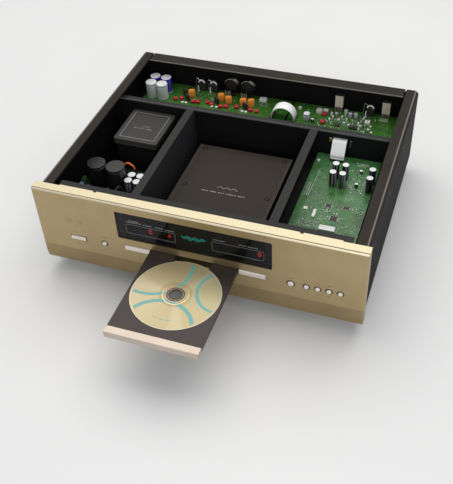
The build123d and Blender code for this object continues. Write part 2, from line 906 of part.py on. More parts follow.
def power_parts():
    """Film capacitors, pin header, regulator and heat sink on the supply board."""
    z = power_board_top
    film_left = power_board_left + film_block_width * 2 / 3
    film_y = large_cap_y - large_cap_radius - film_block_length * 0.4
    film_right = film_left + film_block_width
    film_green = block(film_left, film_right, film_y, film_y + film_block_length, z, z + film_block_height)
    film_y -= film_block_length * 1.2
    film_blue = block(film_left, film_right, film_y, film_y + film_block_length,
                      z, z + film_block_height - switch_height)
    header_left = small_cap_x - header_length * 0.6
    header_y = small_cap_back + header_width / 4
    header = block(header_left, header_left + header_length, header_y, header_y + header_width,
                   z, z + header_height)
    part_left = small_cap_x + regulator_width
    part_y = small_cap_back + regulator_depth
    regulator = block(part_left, part_left + regulator_width, part_y, part_y + regulator_depth,
                      z, z + regulator_height)
    sink_left = power_board_left + sink_inset
    sink_front = board_front + sink_inset
    fin_front = sink_front + sink_back
    sink = block(sink_left, sink_left + sink_width, sink_front, fin_front, z, z + sink_height)
    fin_pitch = (sink_width - sink_fin) / (sink_fin_count - 1)
    for number in range(sink_fin_count):
        fin_x = sink_left + number * fin_pitch
        sink += block(fin_x, fin_x + sink_fin, fin_front, sink_front + sink_depth, z, z + sink_height)
    return [film_green, film_blue, header, regulator, sink]


def board_decks():
    """Sheet decks under the boards, in the right bay and in the rear bay."""
    right = block(divider_x + sheet, case_inner, panel_thickness + sheet, partition_y,
                  deck_top - sheet, deck_top)
    rear = block(-case_inner, case_inner, partition_y + sheet, rear_inner, deck_top - sheet, deck_top)
    return [right, rear]


def corner_places(x0, x1, y0, y1):
    """Four places set in from the corners of a board."""
    return [(x, y) for x in (x0 + board_inset, x1 - board_inset)
            for y in (y0 + board_inset, y1 - board_inset)]


def board_standoffs():
    """Posts under every board."""
    solids = []
    for x, y in corner_places(power_board_left, power_board_right, board_front, power_board_back):
        solids.append(rod(x, y, base_top, power_board_bottom, standoff_radius))
    boards = [
        (main_board_left, main_board_right, board_front, main_board_back),
        (signal_board_left, signal_board_right, rear_board_front, rear_board_back),
        (digital_board_left, digital_board_right, rear_board_front, rear_board_back),
    ]
    for outline in boards:
        for x, y in corner_places(*outline):
            solids.append(rod(x, y, deck_top, board_bottom, standoff_radius))
    return solids


def main_board():
    """Green board in the right bay."""
    return [block(main_board_left, main_board_right, board_front, main_board_back,
                  board_bottom, board_top)]


def rear_boards():
    """Signal board and digital board in the rear bay."""
    return [
        block(signal_board_left, signal_board_right, rear_board_front, rear_board_back,
              board_bottom, board_top),
        block(digital_board_left, digital_board_right, rear_board_front, rear_board_back,
              board_bottom, board_top),
    ]


def board_capacitors():
    """Upright capacitors on the main board and at the left end of the rear board."""
    solids = []
    main_top = board_top + main_cap_height
    for side_y in (-0.5, 0.5):
        y = main_cap_y + side_y * main_cap_pitch_y
        for x in (main_cap_x - main_cap_pitch_x / 2, main_cap_x + main_cap_pitch_x / 2,
                  main_board_right - main_cap_radius):
            solids.append(rod(x, y, board_top, main_top, main_cap_radius))
    for side_x in (-0.5, 0.5):
        for side_y in (-0.5, 0.5):
            x = supply_cap_x + side_x * supply_cap_pitch
            y = supply_cap_y + side_y * supply_cap_pitch
            solids.append(rod(x, y, board_top, board_top + supply_cap_height, supply_cap_radius))
    return solids


def on_board(places, left, front):
    """Places moved from a board's corner to the player."""
    return [(left + place[0], front + place[1]) for place in places]


def signal_capacitors():
    """Orange film capacitors and small red capacitors on the rear boards."""
    z = board_top
    solids = []
    for x, y in on_board(film_places, signal_board_left, rear_board_front):
        film = Box(film_width, film_depth, film_height)
        solids.append(Pos(x, y, z + film_height / 2) * Rot(0, 0, film_turn) * film)
    reds = on_board(red_places, signal_board_left, rear_board_front)
    reds += on_board(digital_red_places, digital_board_left, rear_board_front)
    return solids + [rod(x, y, z, z + red_cap_height, red_cap_radius) for x, y in reds]


def blocks_on(places, left, front):
    """Low blocks on one board."""
    return [block(left + x0, left + x1, front + y0, front + y1, board_top, board_top + height)
            for x0, x1, y0, y1, height in places]


def board_parts():
    """Chips, crystals, pin headers, connectors and transistors on the boards."""
    z = board_top
    solids = blocks_on(main_blocks, main_board_left, board_front)
    solids += blocks_on(signal_blocks, signal_board_left, rear_board_front)
    solids += blocks_on(digital_blocks, digital_board_left, rear_board_front)
    solids.append(block(cable_left, cable_right, cable_foot_y - 3, cable_foot_y + 3,
                        z, z + cable_foot_height))
    jumper_middle = jumper_front + jumper_width / 2
    for x in (jumper_x - jumper_radius, jumper_x + jumper_radius):
        solids.append(block(x - jumper_foot_half, x + jumper_foot_half,
                            jumper_middle - 11, jumper_middle + 11, z, z + jumper_foot_height))
    for x, y in on_board(transistor_places, signal_board_left, rear_board_front):
        package = Box(transistor_width, transistor_depth, transistor_height)
        solids.append(Pos(x, y, z + transistor_height / 2) * Rot(0, 0, -35) * package)
    for places, left, front in ((main_rounds, main_board_left, board_front),
                                (digital_rounds, digital_board_left, rear_board_front)):
        solids += [rod(left + x, front + y, z, z + height, radius) for x, y, height, radius in places]
    return solids


def board_cables():
    """Flat cable through the slot, arched jumper between the rear boards, and a bridge wire."""
    thick = cable_thickness
    foot = board_top + cable_foot_height
    slot_z = (cable_slot_bottom + cable_slot_top) / 2
    wall = partition_y + sheet
    flat = prism_x(
        [
            (cable_foot_y, foot), (cable_foot_y, foot + 4), (partition_y - 4, slot_z - 1),
            (partition_y - 1, slot_z), (wall + 6, slot_z), (wall + 6, slot_z + thick),
            (partition_y - 1.6, slot_z + thick), (partition_y - 5.2, slot_z - 0.4),
            (cable_foot_y - thick, foot + 4.6), (cable_foot_y - thick, foot),
        ],
        cable_left, cable_right,
    )
    low = board_top + jumper_foot_height
    arch_z = low + jumper_leg
    back = jumper_front + jumper_width
    inner = jumper_radius - thick
    arch = rod_y(jumper_x, arch_z, jumper_front, back, jumper_radius)
    arch += block(jumper_x - jumper_radius, jumper_x + jumper_radius, jumper_front, back, low, arch_z)
    arch -= rod_y(jumper_x, arch_z, jumper_front, back, inner)
    arch -= block(jumper_x - inner, jumper_x + inner, jumper_front, back, board_bottom, arch_z)
    arch -= block(jumper_x - 2 * jumper_radius, jumper_x + 2 * jumper_radius, jumper_front, back,
                  board_bottom - jumper_radius, low)
    x = small_cap_x - wire_offset
    y = small_cap_back + wire_back_gap
    z = power_board_top
    shoulder = z + wire_rise - 0.7 * wire_half_span
    path = FilletPolyline(
        (x - wire_half_span, y, z), (x - wire_half_span, y, shoulder), (x, y, z + wire_rise),
        (x + wire_half_span, y, shoulder), (x + wire_half_span, y, z),
        radius=5.0,
    )
    wire = sweep(Plane(origin=path @ 0, z_dir=path % 0) * Circle(wire_radius), path=path)
    return [flat, arch, wire]


def housing_posts():
    """Places of the four posts that the drive unit rises on."""
    return [(x, y) for x in (-lift_post_x, lift_post_x) for y in lift_post_ys]


def transport_base():
    """Floor, side walls and rear wall of the disc transport, with its posts and cam ribs."""
    wide = housing_outer
    floor = block(-wide, wide, housing_front, housing_back, housing_floor_bottom, housing_floor_top)
    for x in (-wide + 10, wide - 10):
        for y in (housing_front + 12, housing_back - 12):
            floor += rod(x, y, base_top, housing_floor_bottom, 6)
    shoulder = belt_wheel_bottom - post_end_gap
    floor += rod(pinion_x, pinion_y, housing_floor_top, shoulder, 2 * post_radius)
    floor += rod(pinion_x, pinion_y, shoulder, tray_bottom - 2 * post_end_gap, post_radius)
    for x, y in housing_posts():
        floor += rod(x, y, housing_floor_top, lift_boss_top + lift_travel + 1, post_radius)
    rib_top = housing_floor_top + cam_rib_height
    for y in (cam_front - cam_rib_gap - cam_rib_thickness, cam_back + cam_rib_gap):
        floor += block(cam_left, cam_right, y, y + cam_rib_thickness, housing_floor_top, rib_top)
    right = block(housing_inner, wide, housing_front, housing_back, housing_floor_top, cover_bottom)
    right += block(housing_flange_inner, housing_inner, housing_front, housing_back, bridge_top, cover_bottom)
    for y in cover_screw_ys:
        right -= rod(cover_screw_x, y, bridge_top, cover_bottom, screw_radius)
    rear = block(-housing_flange_inner, housing_flange_inner, housing_back - housing_wall, housing_back,
                 housing_floor_top, cover_bottom)
    return [floor, right, mirrored(right), rear]


def cover_screw_places():
    """Centre of each cover screw."""
    return [(x, y) for x in (-cover_screw_x, cover_screw_x) for y in cover_screw_ys]


def screw_head(x, y):
    """Countersunk head, flush with the cover."""
    middle = cover_top - screw_head_depth / 2
    return Pos(x, y, middle) * Cone(screw_radius, screw_head_radius, screw_head_depth)


def transport_cover():
    """Flat cover over the transport, with countersunk holes."""
    body = block(-cover_half, cover_half, housing_front, housing_back, cover_bottom, cover_top)
    for x, y in cover_screw_places():
        body -= rod(x, y, cover_bottom, cover_top, screw_radius)
        body -= screw_head(x, y)
    return [chamfer(body.faces().sort_by(Axis.Z)[-1].outer_wire().edges(), cover_bevel)]


def cover_screws():
    """Countersunk screws in the cover and the transport's side flanges."""
    solids = []
    for x, y in cover_screw_places():
        solids.append(screw_head(x, y) + rod(x, y, bridge_top, cover_top - screw_head_depth, screw_radius))
    return solids


def tray_guides():
    """Two channels that the tray's edges run in."""
    side_inner = tray_half + guide_gap
    front = housing_front + 1
    side = block(side_inner, housing_inner, front, guide_back, guide_bottom, guide_top)
    lower = block(tray_half - guide_lap, side_inner, front, guide_back,
                  guide_bottom, tray_bottom - guide_lip_gap)
    upper = block(tray_half - guide_lap, side_inner, front, guide_back,
                  tray_top + guide_gap, guide_top)
    right = side + lower + upper
    return [right, mirrored(right)]


def clamp_bridge():
    """Beam over the tray that carries the clamp."""
    body = block(-housing_inner, housing_inner, disc_home_y - bridge_half, disc_home_y + bridge_half,
                 guide_top, bridge_top)
    return [body - rod(0, disc_home_y, guide_top, bridge_top, puck_neck_radius + bridge_hole_gap)]


def clamp_puck():
    """Clamp that hangs in the bridge and presses the disc onto the turntable."""
    pad_top = guide_top - puck_end_gap
    flange_bottom = bridge_top + running_gap
    body = rod(0, disc_home_y, puck_bottom, pad_top, puck_radius)
    body += rod(0, disc_home_y, pad_top, flange_bottom, puck_neck_radius)
    body += rod(0, disc_home_y, flange_bottom, cover_bottom - puck_end_gap, puck_flange_radius)
    return [body - rod(0, disc_home_y, puck_bottom, puck_bottom + hub_height + 0.5, hub_radius + 0.7)]


def loader_motor():
    """Loading motor on the transport floor, with its shaft."""
    body = rod(0, loader_motor_y, housing_floor_top, loader_motor_top, loader_motor_radius)
    return [body + rod(0, loader_motor_y, loader_motor_top, belt_wheel_top, shaft_radius)]


def grooved_wheel(x, y, radius):
    """Wheel with a square groove for the belt."""
    wheel = rod(x, y, belt_wheel_bottom, belt_wheel_top, radius)
    half = belt_size / 2 + belt_gap
    ring = rod(x, y, belt_z - half, belt_z + half, radius + 1)
    ring -= rod(x, y, belt_z - half, belt_z + half, radius - belt_groove_depth)
    return wheel - ring


def motor_wheel():
    """Small belt wheel on the loading motor's shaft."""
    wheel = grooved_wheel(0, loader_motor_y, motor_wheel_radius)
    return [wheel - rod(0, loader_motor_y, belt_wheel_bottom, belt_wheel_top, shaft_radius + running_gap)]


def drive_gear():
    """Belt wheel and tray pinion in one piece."""
    gear = Pos(pinion_x, pinion_y, pinion_bottom) * gear_blank(rack_module, pinion_teeth, pinion_height)
    hub = rod(pinion_x, pinion_y, belt_wheel_top, pinion_bottom, pinion_radius - 2 * rack_module)
    body = grooved_wheel(pinion_x, pinion_y, belt_wheel_radius) + hub + gear
    return [body - rod(pinion_x, pinion_y, belt_wheel_bottom, tray_bottom, post_radius + running_gap)]


def loader_belt():
    """Square belt round both wheels."""
    wide = belt_wheel_radius - belt_groove_depth + belt_gap
    small = motor_wheel_radius - belt_groove_depth + belt_gap
    outside = belt_face(pinion_x, pinion_y, wide + belt_size, 0, loader_motor_y, small + belt_size)
    inside = belt_face(pinion_x, pinion_y, wide, 0, loader_motor_y, small)
    ring = extrude(outside, amount=belt_size) - extrude(inside, amount=belt_size)
    return [Pos(0, 0, belt_z - belt_size / 2) * ring]


def tray():
    """Tray with the disc recess, a small-disc recess and the opening for the drive unit."""
    middle_y = (tray_rear - tray_front + lip_depth) / 2
    body = plate_z(0, middle_y, 2 * tray_half, tray_rear + tray_front - lip_depth, tray_bottom, tray_top,
                   tray_corner)
    body -= rod(0, disc_y, disc_bottom, tray_top, disc_radius + recess_gap)
    body -= rod(0, disc_y, disc_bottom - small_recess_depth, disc_bottom, small_recess_radius)
    body -= rod(0, disc_y, tray_bottom, disc_bottom, tray_opening_half)
    body -= block(-tray_opening_half, tray_opening_half, disc_y, disc_y + tray_opening_length,
                  tray_bottom, tray_top)
    return [body]


def tray_lip():
    """Pale front of the tray, which closes the slot."""
    lip = block(-tray_half, tray_half, -tray_front, lip_depth - tray_front, lip_bottom, lip_top)
    return [fillet(lip.faces().sort_by(Axis.Y)[0].edges().filter_by(Axis.X), lip_round)]


def tray_rack():
    """Rack under the tray's right side, in mesh with the pinion over the whole travel."""
    room = 2 * pi * rack_module
    return [rack_bar(rack_module, rack_pitch_x, rack_back_x, pinion_y, pinion_y - tray_travel - room,
                     tray_rear - 1, rack_bottom, rack_height)]


def disc():
    """The disc, lying in the tray's recess."""
    body = rod(0, disc_y, disc_bottom, disc_bottom + disc_thickness, disc_radius)
    return [body - rod(0, disc_y, disc_bottom, disc_bottom + disc_thickness, disc_hole_radius)]


def traverse_frame():
    """Plate that rises with the spindle motor and the laser, on four posts."""
    z0, z1 = drive_plate_bottom, drive_plate_top
    body = block(-drive_plate_half, drive_plate_half, drive_plate_front, drive_plate_back, z0, z1)
    for x, y in housing_posts():
        body += rod(x, y, z1, lift_boss_top, lift_boss_radius)
        body -= rod(x, y, z0, lift_boss_top, post_radius + running_gap)
    for x in (-guide_shaft_x, guide_shaft_x):
        for y in (shaft_front, shaft_back - shaft_block_length):
            body += block(x - shaft_block_half, x + shaft_block_half, y, y + shaft_block_length,
                          z1, guide_shaft_z + shaft_block_height)
        body -= rod_y(x, guide_shaft_z, shaft_front, shaft_back, guide_shaft_radius)
    pin_root = cam_back + 2 * cam_rib_gap
    body += block(-5, 5, pin_root, drive_plate_front, cam_pin_z - 2 * cam_pin_radius, z1)
    body += rod_y(0, cam_pin_z, cam_front - cam_rib_gap, pin_root, cam_pin_radius)
    body -= rod(sled_gear_x, sled_gear_y, z0, z1, shaft_radius + bridge_hole_gap / 2)
    return [body]


def traverse_motors():
    """Spindle motor and pickup motor, both on the rising plate."""
    motor_top = seat_down_z - turntable_thickness - post_end_gap
    spindle = rod(0, disc_home_y, drive_plate_top, motor_top, spindle_motor_radius)
    spindle -= rod(0, disc_home_y, drive_plate_top + 2, motor_top, shaft_radius + running_gap)
    sled = rod(sled_gear_x, sled_gear_y, drive_plate_bottom - sled_motor_height, drive_plate_bottom,
               sled_motor_radius)
    sled += rod(sled_gear_x, sled_gear_y, drive_plate_bottom, sled_gear_top, shaft_radius)
    return [spindle, sled]


def pickup_shafts():
    """Two ground shafts that the laser pickup runs on."""
    return [rod_y(x, guide_shaft_z, shaft_front, shaft_back, guide_shaft_radius)
            for x in (-guide_shaft_x, guide_shaft_x)]


def turntable():
    """Disc seat with a centring hub, and the spindle shaft."""
    seat_bottom = seat_down_z - turntable_thickness
    body = rod(0, disc_home_y, seat_bottom, seat_down_z, turntable_radius)
    hub = rod(0, disc_home_y, seat_down_z, seat_down_z + hub_height, hub_radius)
    hub = chamfer(hub.faces().sort_by(Axis.Z)[-1].edges(), hub_bevel)
    shaft_bottom = drive_plate_top + 2.5
    return [body + hub + rod(0, disc_home_y, shaft_bottom, seat_bottom, shaft_radius)]


def pickup():
    """Laser pickup with its lens, its shaft bearings and its rack."""
    y0, y1 = pickup_y - pickup_length / 2, pickup_y + pickup_length / 2
    edge = guide_shaft_x + guide_bearing_half
    body = block(-edge, edge, y0, y1, pickup_bottom, pickup_top)
    for x in (-guide_shaft_x, guide_shaft_x):
        body -= rod_y(x, guide_shaft_z, y0, y1, guide_shaft_radius + running_gap)
    body += rod(0, pickup_y, pickup_top, lens_top, lens_radius)
    rack_back = sled_rack_pitch_x + sled_rack_width
    body += rack_bar(sled_module, sled_rack_pitch_x, rack_back, sled_gear_y,
                     sled_gear_y - pickup_stroke - sled_rack_end, sled_gear_y + sled_rack_end,
                     sled_gear_bottom, sled_gear_height)
    body += block(rack_back, -edge, y0, y1, sled_gear_bottom, sled_gear_top)
    return [body]


def sled_gear():
    """Gear on the pickup motor, in mesh with the pickup's rack."""
    gear = Pos(sled_gear_x, sled_gear_y, sled_gear_bottom) * gear_blank(
        sled_module, sled_teeth, sled_gear_height)
    return [gear - rod(sled_gear_x, sled_gear_y, sled_gear_bottom, sled_gear_top, shaft_radius + running_gap)]


def lift_cam():
    """Sliding plate whose sloping slot lifts the drive unit's pin."""
    body = block(cam_left, cam_right - cam_travel, cam_front, cam_back,
                 housing_floor_top + running_gap, cam_top)
    half = cam_pin_radius + cam_slot_gap
    for x, z in ((0, cam_pin_z), (-cam_travel, cam_pin_z + lift_travel)):
        body -= rod_y(x, z, cam_front, cam_back, half)
    slope = atan2(lift_travel, -cam_travel)
    off_x, off_z = half * sin(slope), half * cos(slope)
    body -= prism_y(
        [
            (off_x, cam_pin_z - off_z), (-off_x, cam_pin_z + off_z),
            (-cam_travel - off_x, cam_pin_z + lift_travel + off_z),
            (-cam_travel + off_x, cam_pin_z + lift_travel - off_z),
        ],
        cam_front, cam_back,
    )
    return [body]


def rca_sockets():
    """Round sockets: body on the board, flange and barrel outside the rear panel."""
    solids = []
    for x in rca_xs:
        body = block(x - rca_body_half, x + rca_body_half, rear_inner - rca_body_depth, rear_inner,
                     board_top, socket_z + rca_body_half)
        body += rod_y(x, socket_z, rear_inner, rear_face, rca_barrel_radius)
        body += rod_y(x, socket_z, rear_face, rear_face + rca_flange, rca_flange_radius)
        body += rod_y(x, socket_z, rear_face + rca_flange, rear_most, rca_barrel_radius)
        body -= rod_y(x, socket_z, rear_inner - 3, rear_most, rca_hole_radius)
        solids.append(body)
    return solids


def xlr_sockets():
    """Round three-pin sockets: open shell, pins and a screwed flange."""
    solids = []
    outer_face = rear_face + xlr_flange
    floor = outer_face - xlr_depth
    back = floor - xlr_floor
    for x in xlr_xs:
        body = rod_y(x, xlr_z, back, rear_face, xlr_shell_radius)
        body += plate_y(x, xlr_z, xlr_flange_width, xlr_flange_height, rear_face, outer_face, socket_corner)
        body -= rod_y(x, xlr_z, floor, outer_face, xlr_bore_radius)
        for turn in (90, 210, 330):
            pin_x = x + xlr_pin_circle * cos(radians(turn))
            pin_z = xlr_z + xlr_pin_circle * sin(radians(turn))
            body += rod_y(pin_x, pin_z, floor, floor + xlr_pin_length, xlr_pin_radius)
        foot_top = xlr_z - xlr_shell_radius + 2
        body += block(x - 6, x + 6, back, floor, board_top, foot_top)
        solids.append(body)
    return solids


def digital_sockets():
    """Square shuttered sockets for the digital signals."""
    solids = []
    outer_face = rear_face + digital_proud
    low, high = socket_z - digital_height / 2, socket_z + digital_height / 2
    for x in digital_xs:
        left, right = x - digital_width / 2, x + digital_width / 2
        body = block(left, right, rear_inner - digital_body_depth, rear_inner, board_top,
                     board_top + digital_body_height)
        body += block(left, right, rear_inner, outer_face, low, high)
        body -= block(left + digital_rim, right - digital_rim, outer_face - digital_recess, outer_face,
                      low + digital_rim, high - digital_rim)
        solids.append(body)
    return solids


def mains_inlet():
    """Mains inlet: open socket with three flat pins, and a flange outside."""
    outer_face = rear_face + inlet_flange
    floor = outer_face - inlet_cavity_depth
    body = block(inlet_x - inlet_width / 2, inlet_x + inlet_width / 2, floor - inlet_floor, rear_face,
                 inlet_z - inlet_height / 2, inlet_z + inlet_height / 2)
    body += plate_y(inlet_x, inlet_z, inlet_width + 2 * inlet_flange_side, inlet_height + 2 * inlet_flange,
                    rear_face, outer_face, socket_corner)
    body -= plate_y(inlet_x, inlet_z, inlet_width - 2 * inlet_wall, inlet_height - 2 * inlet_wall,
                    floor, outer_face, socket_corner)
    side = inlet_width * 0.26
    places = ((inlet_x - side, inlet_z - 1.5), (inlet_x, inlet_z + 2.5), (inlet_x + side, inlet_z - 1.5))
    for pin_x, pin_z in places:
        body += block(pin_x - 1, pin_x + 1, floor, outer_face - inlet_pin_recess, pin_z - 2, pin_z + 2)
    return [body]


right_side = side_panel()
nodes = {
    "front_panel": front_panel(),
    "display_window": display_window(),
    "display_board": display_board(),
    "switch_boards": switch_boards(),
    "right_side_panel": [right_side],
    "left_side_panel": [mirrored(right_side)],
    "rear_panel": rear_panel(),
    "base_plate": base_plate(),
    "front_rail": front_rail(),
    "partition": partition(),
    "long_dividers": long_dividers(),
    "feet": feet(),
    "foot_pads": foot_pads(),
    "transformer_case": transformer_case(),
    "transformer_lid": transformer_lid(),
    "power_board": power_board(),
    "power_capacitors": power_capacitors(),
    "power_parts": power_parts(),
    "board_decks": board_decks(),
    "board_standoffs": board_standoffs(),
    "main_board": main_board(),
    "rear_boards": rear_boards(),
    "board_capacitors": board_capacitors(),
    "signal_capacitors": signal_capacitors(),
    "board_parts": board_parts(),
    "board_cables": board_cables(),
    "transport_base": transport_base(),
    "transport_cover": transport_cover(),
    "cover_screws": cover_screws(),
    "tray_guides": tray_guides(),
    "clamp_bridge": clamp_bridge(),
    "clamp_puck": clamp_puck(),
    "loader_motor": loader_motor(),
    "motor_wheel": motor_wheel(),
    "drive_gear": drive_gear(),
    "loader_belt": loader_belt(),
    "tray": tray(),
    "tray_lip": tray_lip(),
    "tray_rack": tray_rack(),
    "disc": disc(),
    "traverse_frame": traverse_frame(),
    "traverse_motors": traverse_motors(),
    "pickup_shafts": pickup_shafts(),
    "turntable": turntable(),
    "pickup": pickup(),
    "sled_gear": sled_gear(),
    "lift_cam": lift_cam(),
    "rca_sockets": rca_sockets(),
    "xlr_sockets": xlr_sockets(),
    "digital_sockets": digital_sockets(),
    "mains_inlet": mains_inlet(),
    "power_button": bar_button(power_left, power_right, button_z, power_height, flange_lap, flange_lap),
    "left_bar_button": bar_button(-bar_outer, -bar_inner, bar_z, bar_height, flange_lap, 0),
    "right_bar_button": bar_button(bar_inner, bar_outer, bar_z, bar_height, 0, flange_lap),
}
button_names = ["side_button", "large_button"]
button_names += [f"round_button_{number + 1}" for number in range(small_button_count)]
for name, (x, radius) in zip(button_names, round_buttons()):
    nodes[name] = round_button(x, radius)

os.makedirs("parts", exist_ok=True)
for name, solids in nodes.items():
    whole = Compound(children=[part.solid() for part in solids])
    export_step(whole.moved(Location((0, -origin_y, 0))), f"parts/{name}.step")
print("nodes", len(nodes))
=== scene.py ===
from math import atan2, hypot, pi, radians

import bpy
import numpy as np
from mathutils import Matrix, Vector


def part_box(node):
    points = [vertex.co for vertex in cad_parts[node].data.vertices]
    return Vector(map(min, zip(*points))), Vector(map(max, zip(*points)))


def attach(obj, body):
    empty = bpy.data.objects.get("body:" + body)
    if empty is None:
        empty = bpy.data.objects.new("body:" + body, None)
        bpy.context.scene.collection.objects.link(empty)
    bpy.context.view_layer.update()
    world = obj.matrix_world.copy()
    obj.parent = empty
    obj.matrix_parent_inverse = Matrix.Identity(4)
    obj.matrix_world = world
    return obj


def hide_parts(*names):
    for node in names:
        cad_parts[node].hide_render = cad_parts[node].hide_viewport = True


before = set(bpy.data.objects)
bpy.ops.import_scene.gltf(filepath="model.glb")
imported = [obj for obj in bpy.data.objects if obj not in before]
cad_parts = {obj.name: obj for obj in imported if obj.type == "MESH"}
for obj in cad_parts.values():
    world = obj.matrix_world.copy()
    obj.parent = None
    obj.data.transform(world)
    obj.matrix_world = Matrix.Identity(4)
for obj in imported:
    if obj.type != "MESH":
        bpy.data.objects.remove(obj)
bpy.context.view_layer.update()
rng = np.random.default_rng(11)  # every random draw comes from here, in one order

# Lengths are millimetres: x from the panel's middle, y back from its front face, z up from the floor.
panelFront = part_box("front_panel")[0][1]  # in metres
boardTop, powerTop = 95.0, 70.0  # tops of the main and rear boards, and of the supply board


def nodeBox(name):
    # Lower and upper corner of a CAD node.
    shift = np.array([0, panelFront, 0])
    return [(np.array(corner[:]) - shift) * 1000 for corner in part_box(name)]


class Value:
    # A socket in a sum: each operator adds one Math node and gives back its result.
    def __init__(self, graph, socket):
        self.graph, self.socket = graph, socket

    def __add__(self, other):
        return self.graph.maths("ADD", self, other)

    def __radd__(self, other):
        return self.graph.maths("ADD", other, self)

    def __sub__(self, other):
        return self.graph.maths("SUBTRACT", self, other)

    def __rsub__(self, other):
        return self.graph.maths("SUBTRACT", other, self)

    def __mul__(self, other):
        return self.graph.maths("MULTIPLY", self, other)

    def __rmul__(self, other):
        return self.graph.maths("MULTIPLY", other, self)

    def __truediv__(self, other):
        return self.graph.maths("DIVIDE", self, other)

    def __gt__(self, other):
        return self.graph.maths("GREATER_THAN", self, other)

    def __lt__(self, other):
        return self.graph.maths("LESS_THAN", self, other)

    def fract(self):
        return self.graph.maths("FRACT", self)

    def floor(self):
        return self.graph.maths("FLOOR", self)

    def size(self):
        return self.graph.maths("ABSOLUTE", self)

    def sine(self):
        return self.graph.maths("SINE", self)

    def root(self):
        return self.graph.maths("SQRT", self)

    def between(self, low, high):
        return (self > low) * (self < high)  # one inside the span, else nothing

    def ramp(self, low, high, start=0.0, end=1.0):
        # Goes smoothly from start to end while the value goes from low to high.
        node = self.graph.node("ShaderNodeMapRange", {"interpolation_type": "SMOOTHSTEP"},
                               {0: self, 1: low, 2: high, 3: start, 4: end})
        return Value(self.graph, node.outputs[0])


class Graph:
    def __init__(self, name):
        self.material = bpy.data.materials.new(name)
        self.material.use_nodes = True
        self.tree = self.material.node_tree
        self.tree.nodes.clear()
        self.shader = self.node("ShaderNodeBsdfPrincipled")
        self.tree.links.new(self.shader.outputs[0], self.node("ShaderNodeOutputMaterial").inputs[0])
        metres = Value(self, self.node("ShaderNodeTexCoord").outputs["Object"])
        self.place = self.vector("ADD", self.vector("SCALE", metres, {"Scale": 1000.0}),
                                 {1: (0.0, -panelFront * 1000, 0.0)})
        axes = self.node("ShaderNodeSeparateXYZ", {}, {0: self.place})
        self.x, self.y, self.z = (Value(self, axes.outputs[i]) for i in range(3))

    def node(self, kind, settings=None, values=None):
        node = self.tree.nodes.new(kind)
        for key, value in (settings or {}).items():
            setattr(node, key, value)
        for key, value in (values or {}).items():
            if isinstance(value, Value):
                self.tree.links.new(value.socket, node.inputs[key])
            else:
                node.inputs[key].default_value = value
        return node

    def maths(self, operation, *values):
        node = self.node("ShaderNodeMath", {"operation": operation}, dict(enumerate(values)))
        return Value(self, node.outputs[0])

    def vector(self, operation, first, values):
        node = self.node("ShaderNodeVectorMath", {"operation": operation}, {0: first, **values})
        return Value(self, node.outputs[0])

    def stretch(self, x, y, z):
        return self.vector("MULTIPLY", self.place, {1: (x, y, z)})  # each axis by its own number

    def mix(self, share, first, second):
        colours = {0: share}
        for key, colour in ((6, first), (7, second)):
            colours[key] = colour if isinstance(colour, Value) else (*colour, 1.0)
        return Value(self, self.node("ShaderNodeMix", {"data_type": "RGBA"}, colours).outputs[2])

    def over(self, tone, *layers):
        # Lays colours over a tone, each by its own share.
        for share, colour in layers:
            tone = self.mix(share, tone, colour)
        return tone

    def noise(self, scale, detail=2.0, place=None):
        node = self.node("ShaderNodeTexNoise", {},
                         {"Vector": place or self.place, "Scale": scale, "Detail": detail})
        return Value(self, node.outputs[0])

    def chance(self, x, y, z):
        # A random number from nothing to one for each place built from three values.
        place = Value(self, self.node("ShaderNodeCombineXYZ", {}, {0: x, 1: y, 2: z}).outputs[0])
        return Value(self, self.node("ShaderNodeTexWhiteNoise", {}, {"Vector": place}).outputs[0])

    def bump(self, height, depth):
        # The depth is the relief's real height.
        node = self.node("ShaderNodeBump", {}, {"Height": height, "Distance": depth / 1000, "Strength": 1.0})
        self.set("Normal", Value(self, node.outputs[0]))

    def set(self, name, value):
        if isinstance(value, Value):
            self.tree.links.new(value.socket, self.shader.inputs[name])
        else:
            self.shader.inputs[name].default_value = (*value, 1.0) if isinstance(value, tuple) else value


def finish(name, light, dark, rough, metal=0.0, grain=2.0, stretch=(1, 1, 1), relief=0.006, coat=0.0,
           patch=0.02, shine=0.35):
    # Colour wanders slowly between light and dark; fine grain moves roughness and gives a low relief.
    graph = Graph(name)
    spread = 0.08
    fine = graph.noise(grain, 3.0, graph.stretch(*stretch))
    graph.tone = graph.mix((graph.noise(patch).ramp(0.3, 0.7) * 0.6) + (fine * 0.4), dark, light)
    graph.set("Base Color", graph.tone)
    graph.set("Roughness", (fine * (2 * spread)) + (rough - spread))
    graph.set("Metallic", metal)
    graph.set("Coat Weight", coat)
    graph.set("Specular IOR Level", shine)
    if relief:
        graph.bump(fine, relief)
    return graph


# Under and over each of the four round buttons at the right.
buttonSpans = tuple((153.15 + 15 * number, 158.25 + 15 * number) for number in range(4))
panelLook = {
    "face": (0.44, 0.340, 0.180), "cloud": (0.62, 0.52, 0.33), "mark": (0.20, 0.15, 0.09),
    # Painted light: the top colour is the lit tone of the top face, the step colour is painted shade on the
    # lower strip, the groove colour is painted shade in the groove, and the colour after it is a painted
    # highlight on the front top edge.
    "top": (0.57, 0.51, 0.345), "topFrom": 150.2,
    "step": (0.355, 0.265, 0.135), "stepTop": 50.5, "stepDepth": 4.0,
    "groove": (0.20, 0.17, 0.10), "grooveSpan": (2.2, 4.2),
    "arrisHighlight": (0.92, 0.82, 0.60), "arrisFrom": 149.45, "arrisDepth": 2.2,
    # Rows of marks without letters: heights, then spans along the panel.
    "marks": ((101.0, 103.6, ((-186, -177), (-171, -162))), (105.0, 107.6, ((-186, -177), (-171, -162))),
              (83.6, 85.6, ((-181, -166), (-137, -128))), (83.0, 84.6, (*buttonSpans, (132.3, 137.3))),
              (62.6, 64.2, buttonSpans)),
    "markWidth": 1.4, "markShare": 0.5,
}


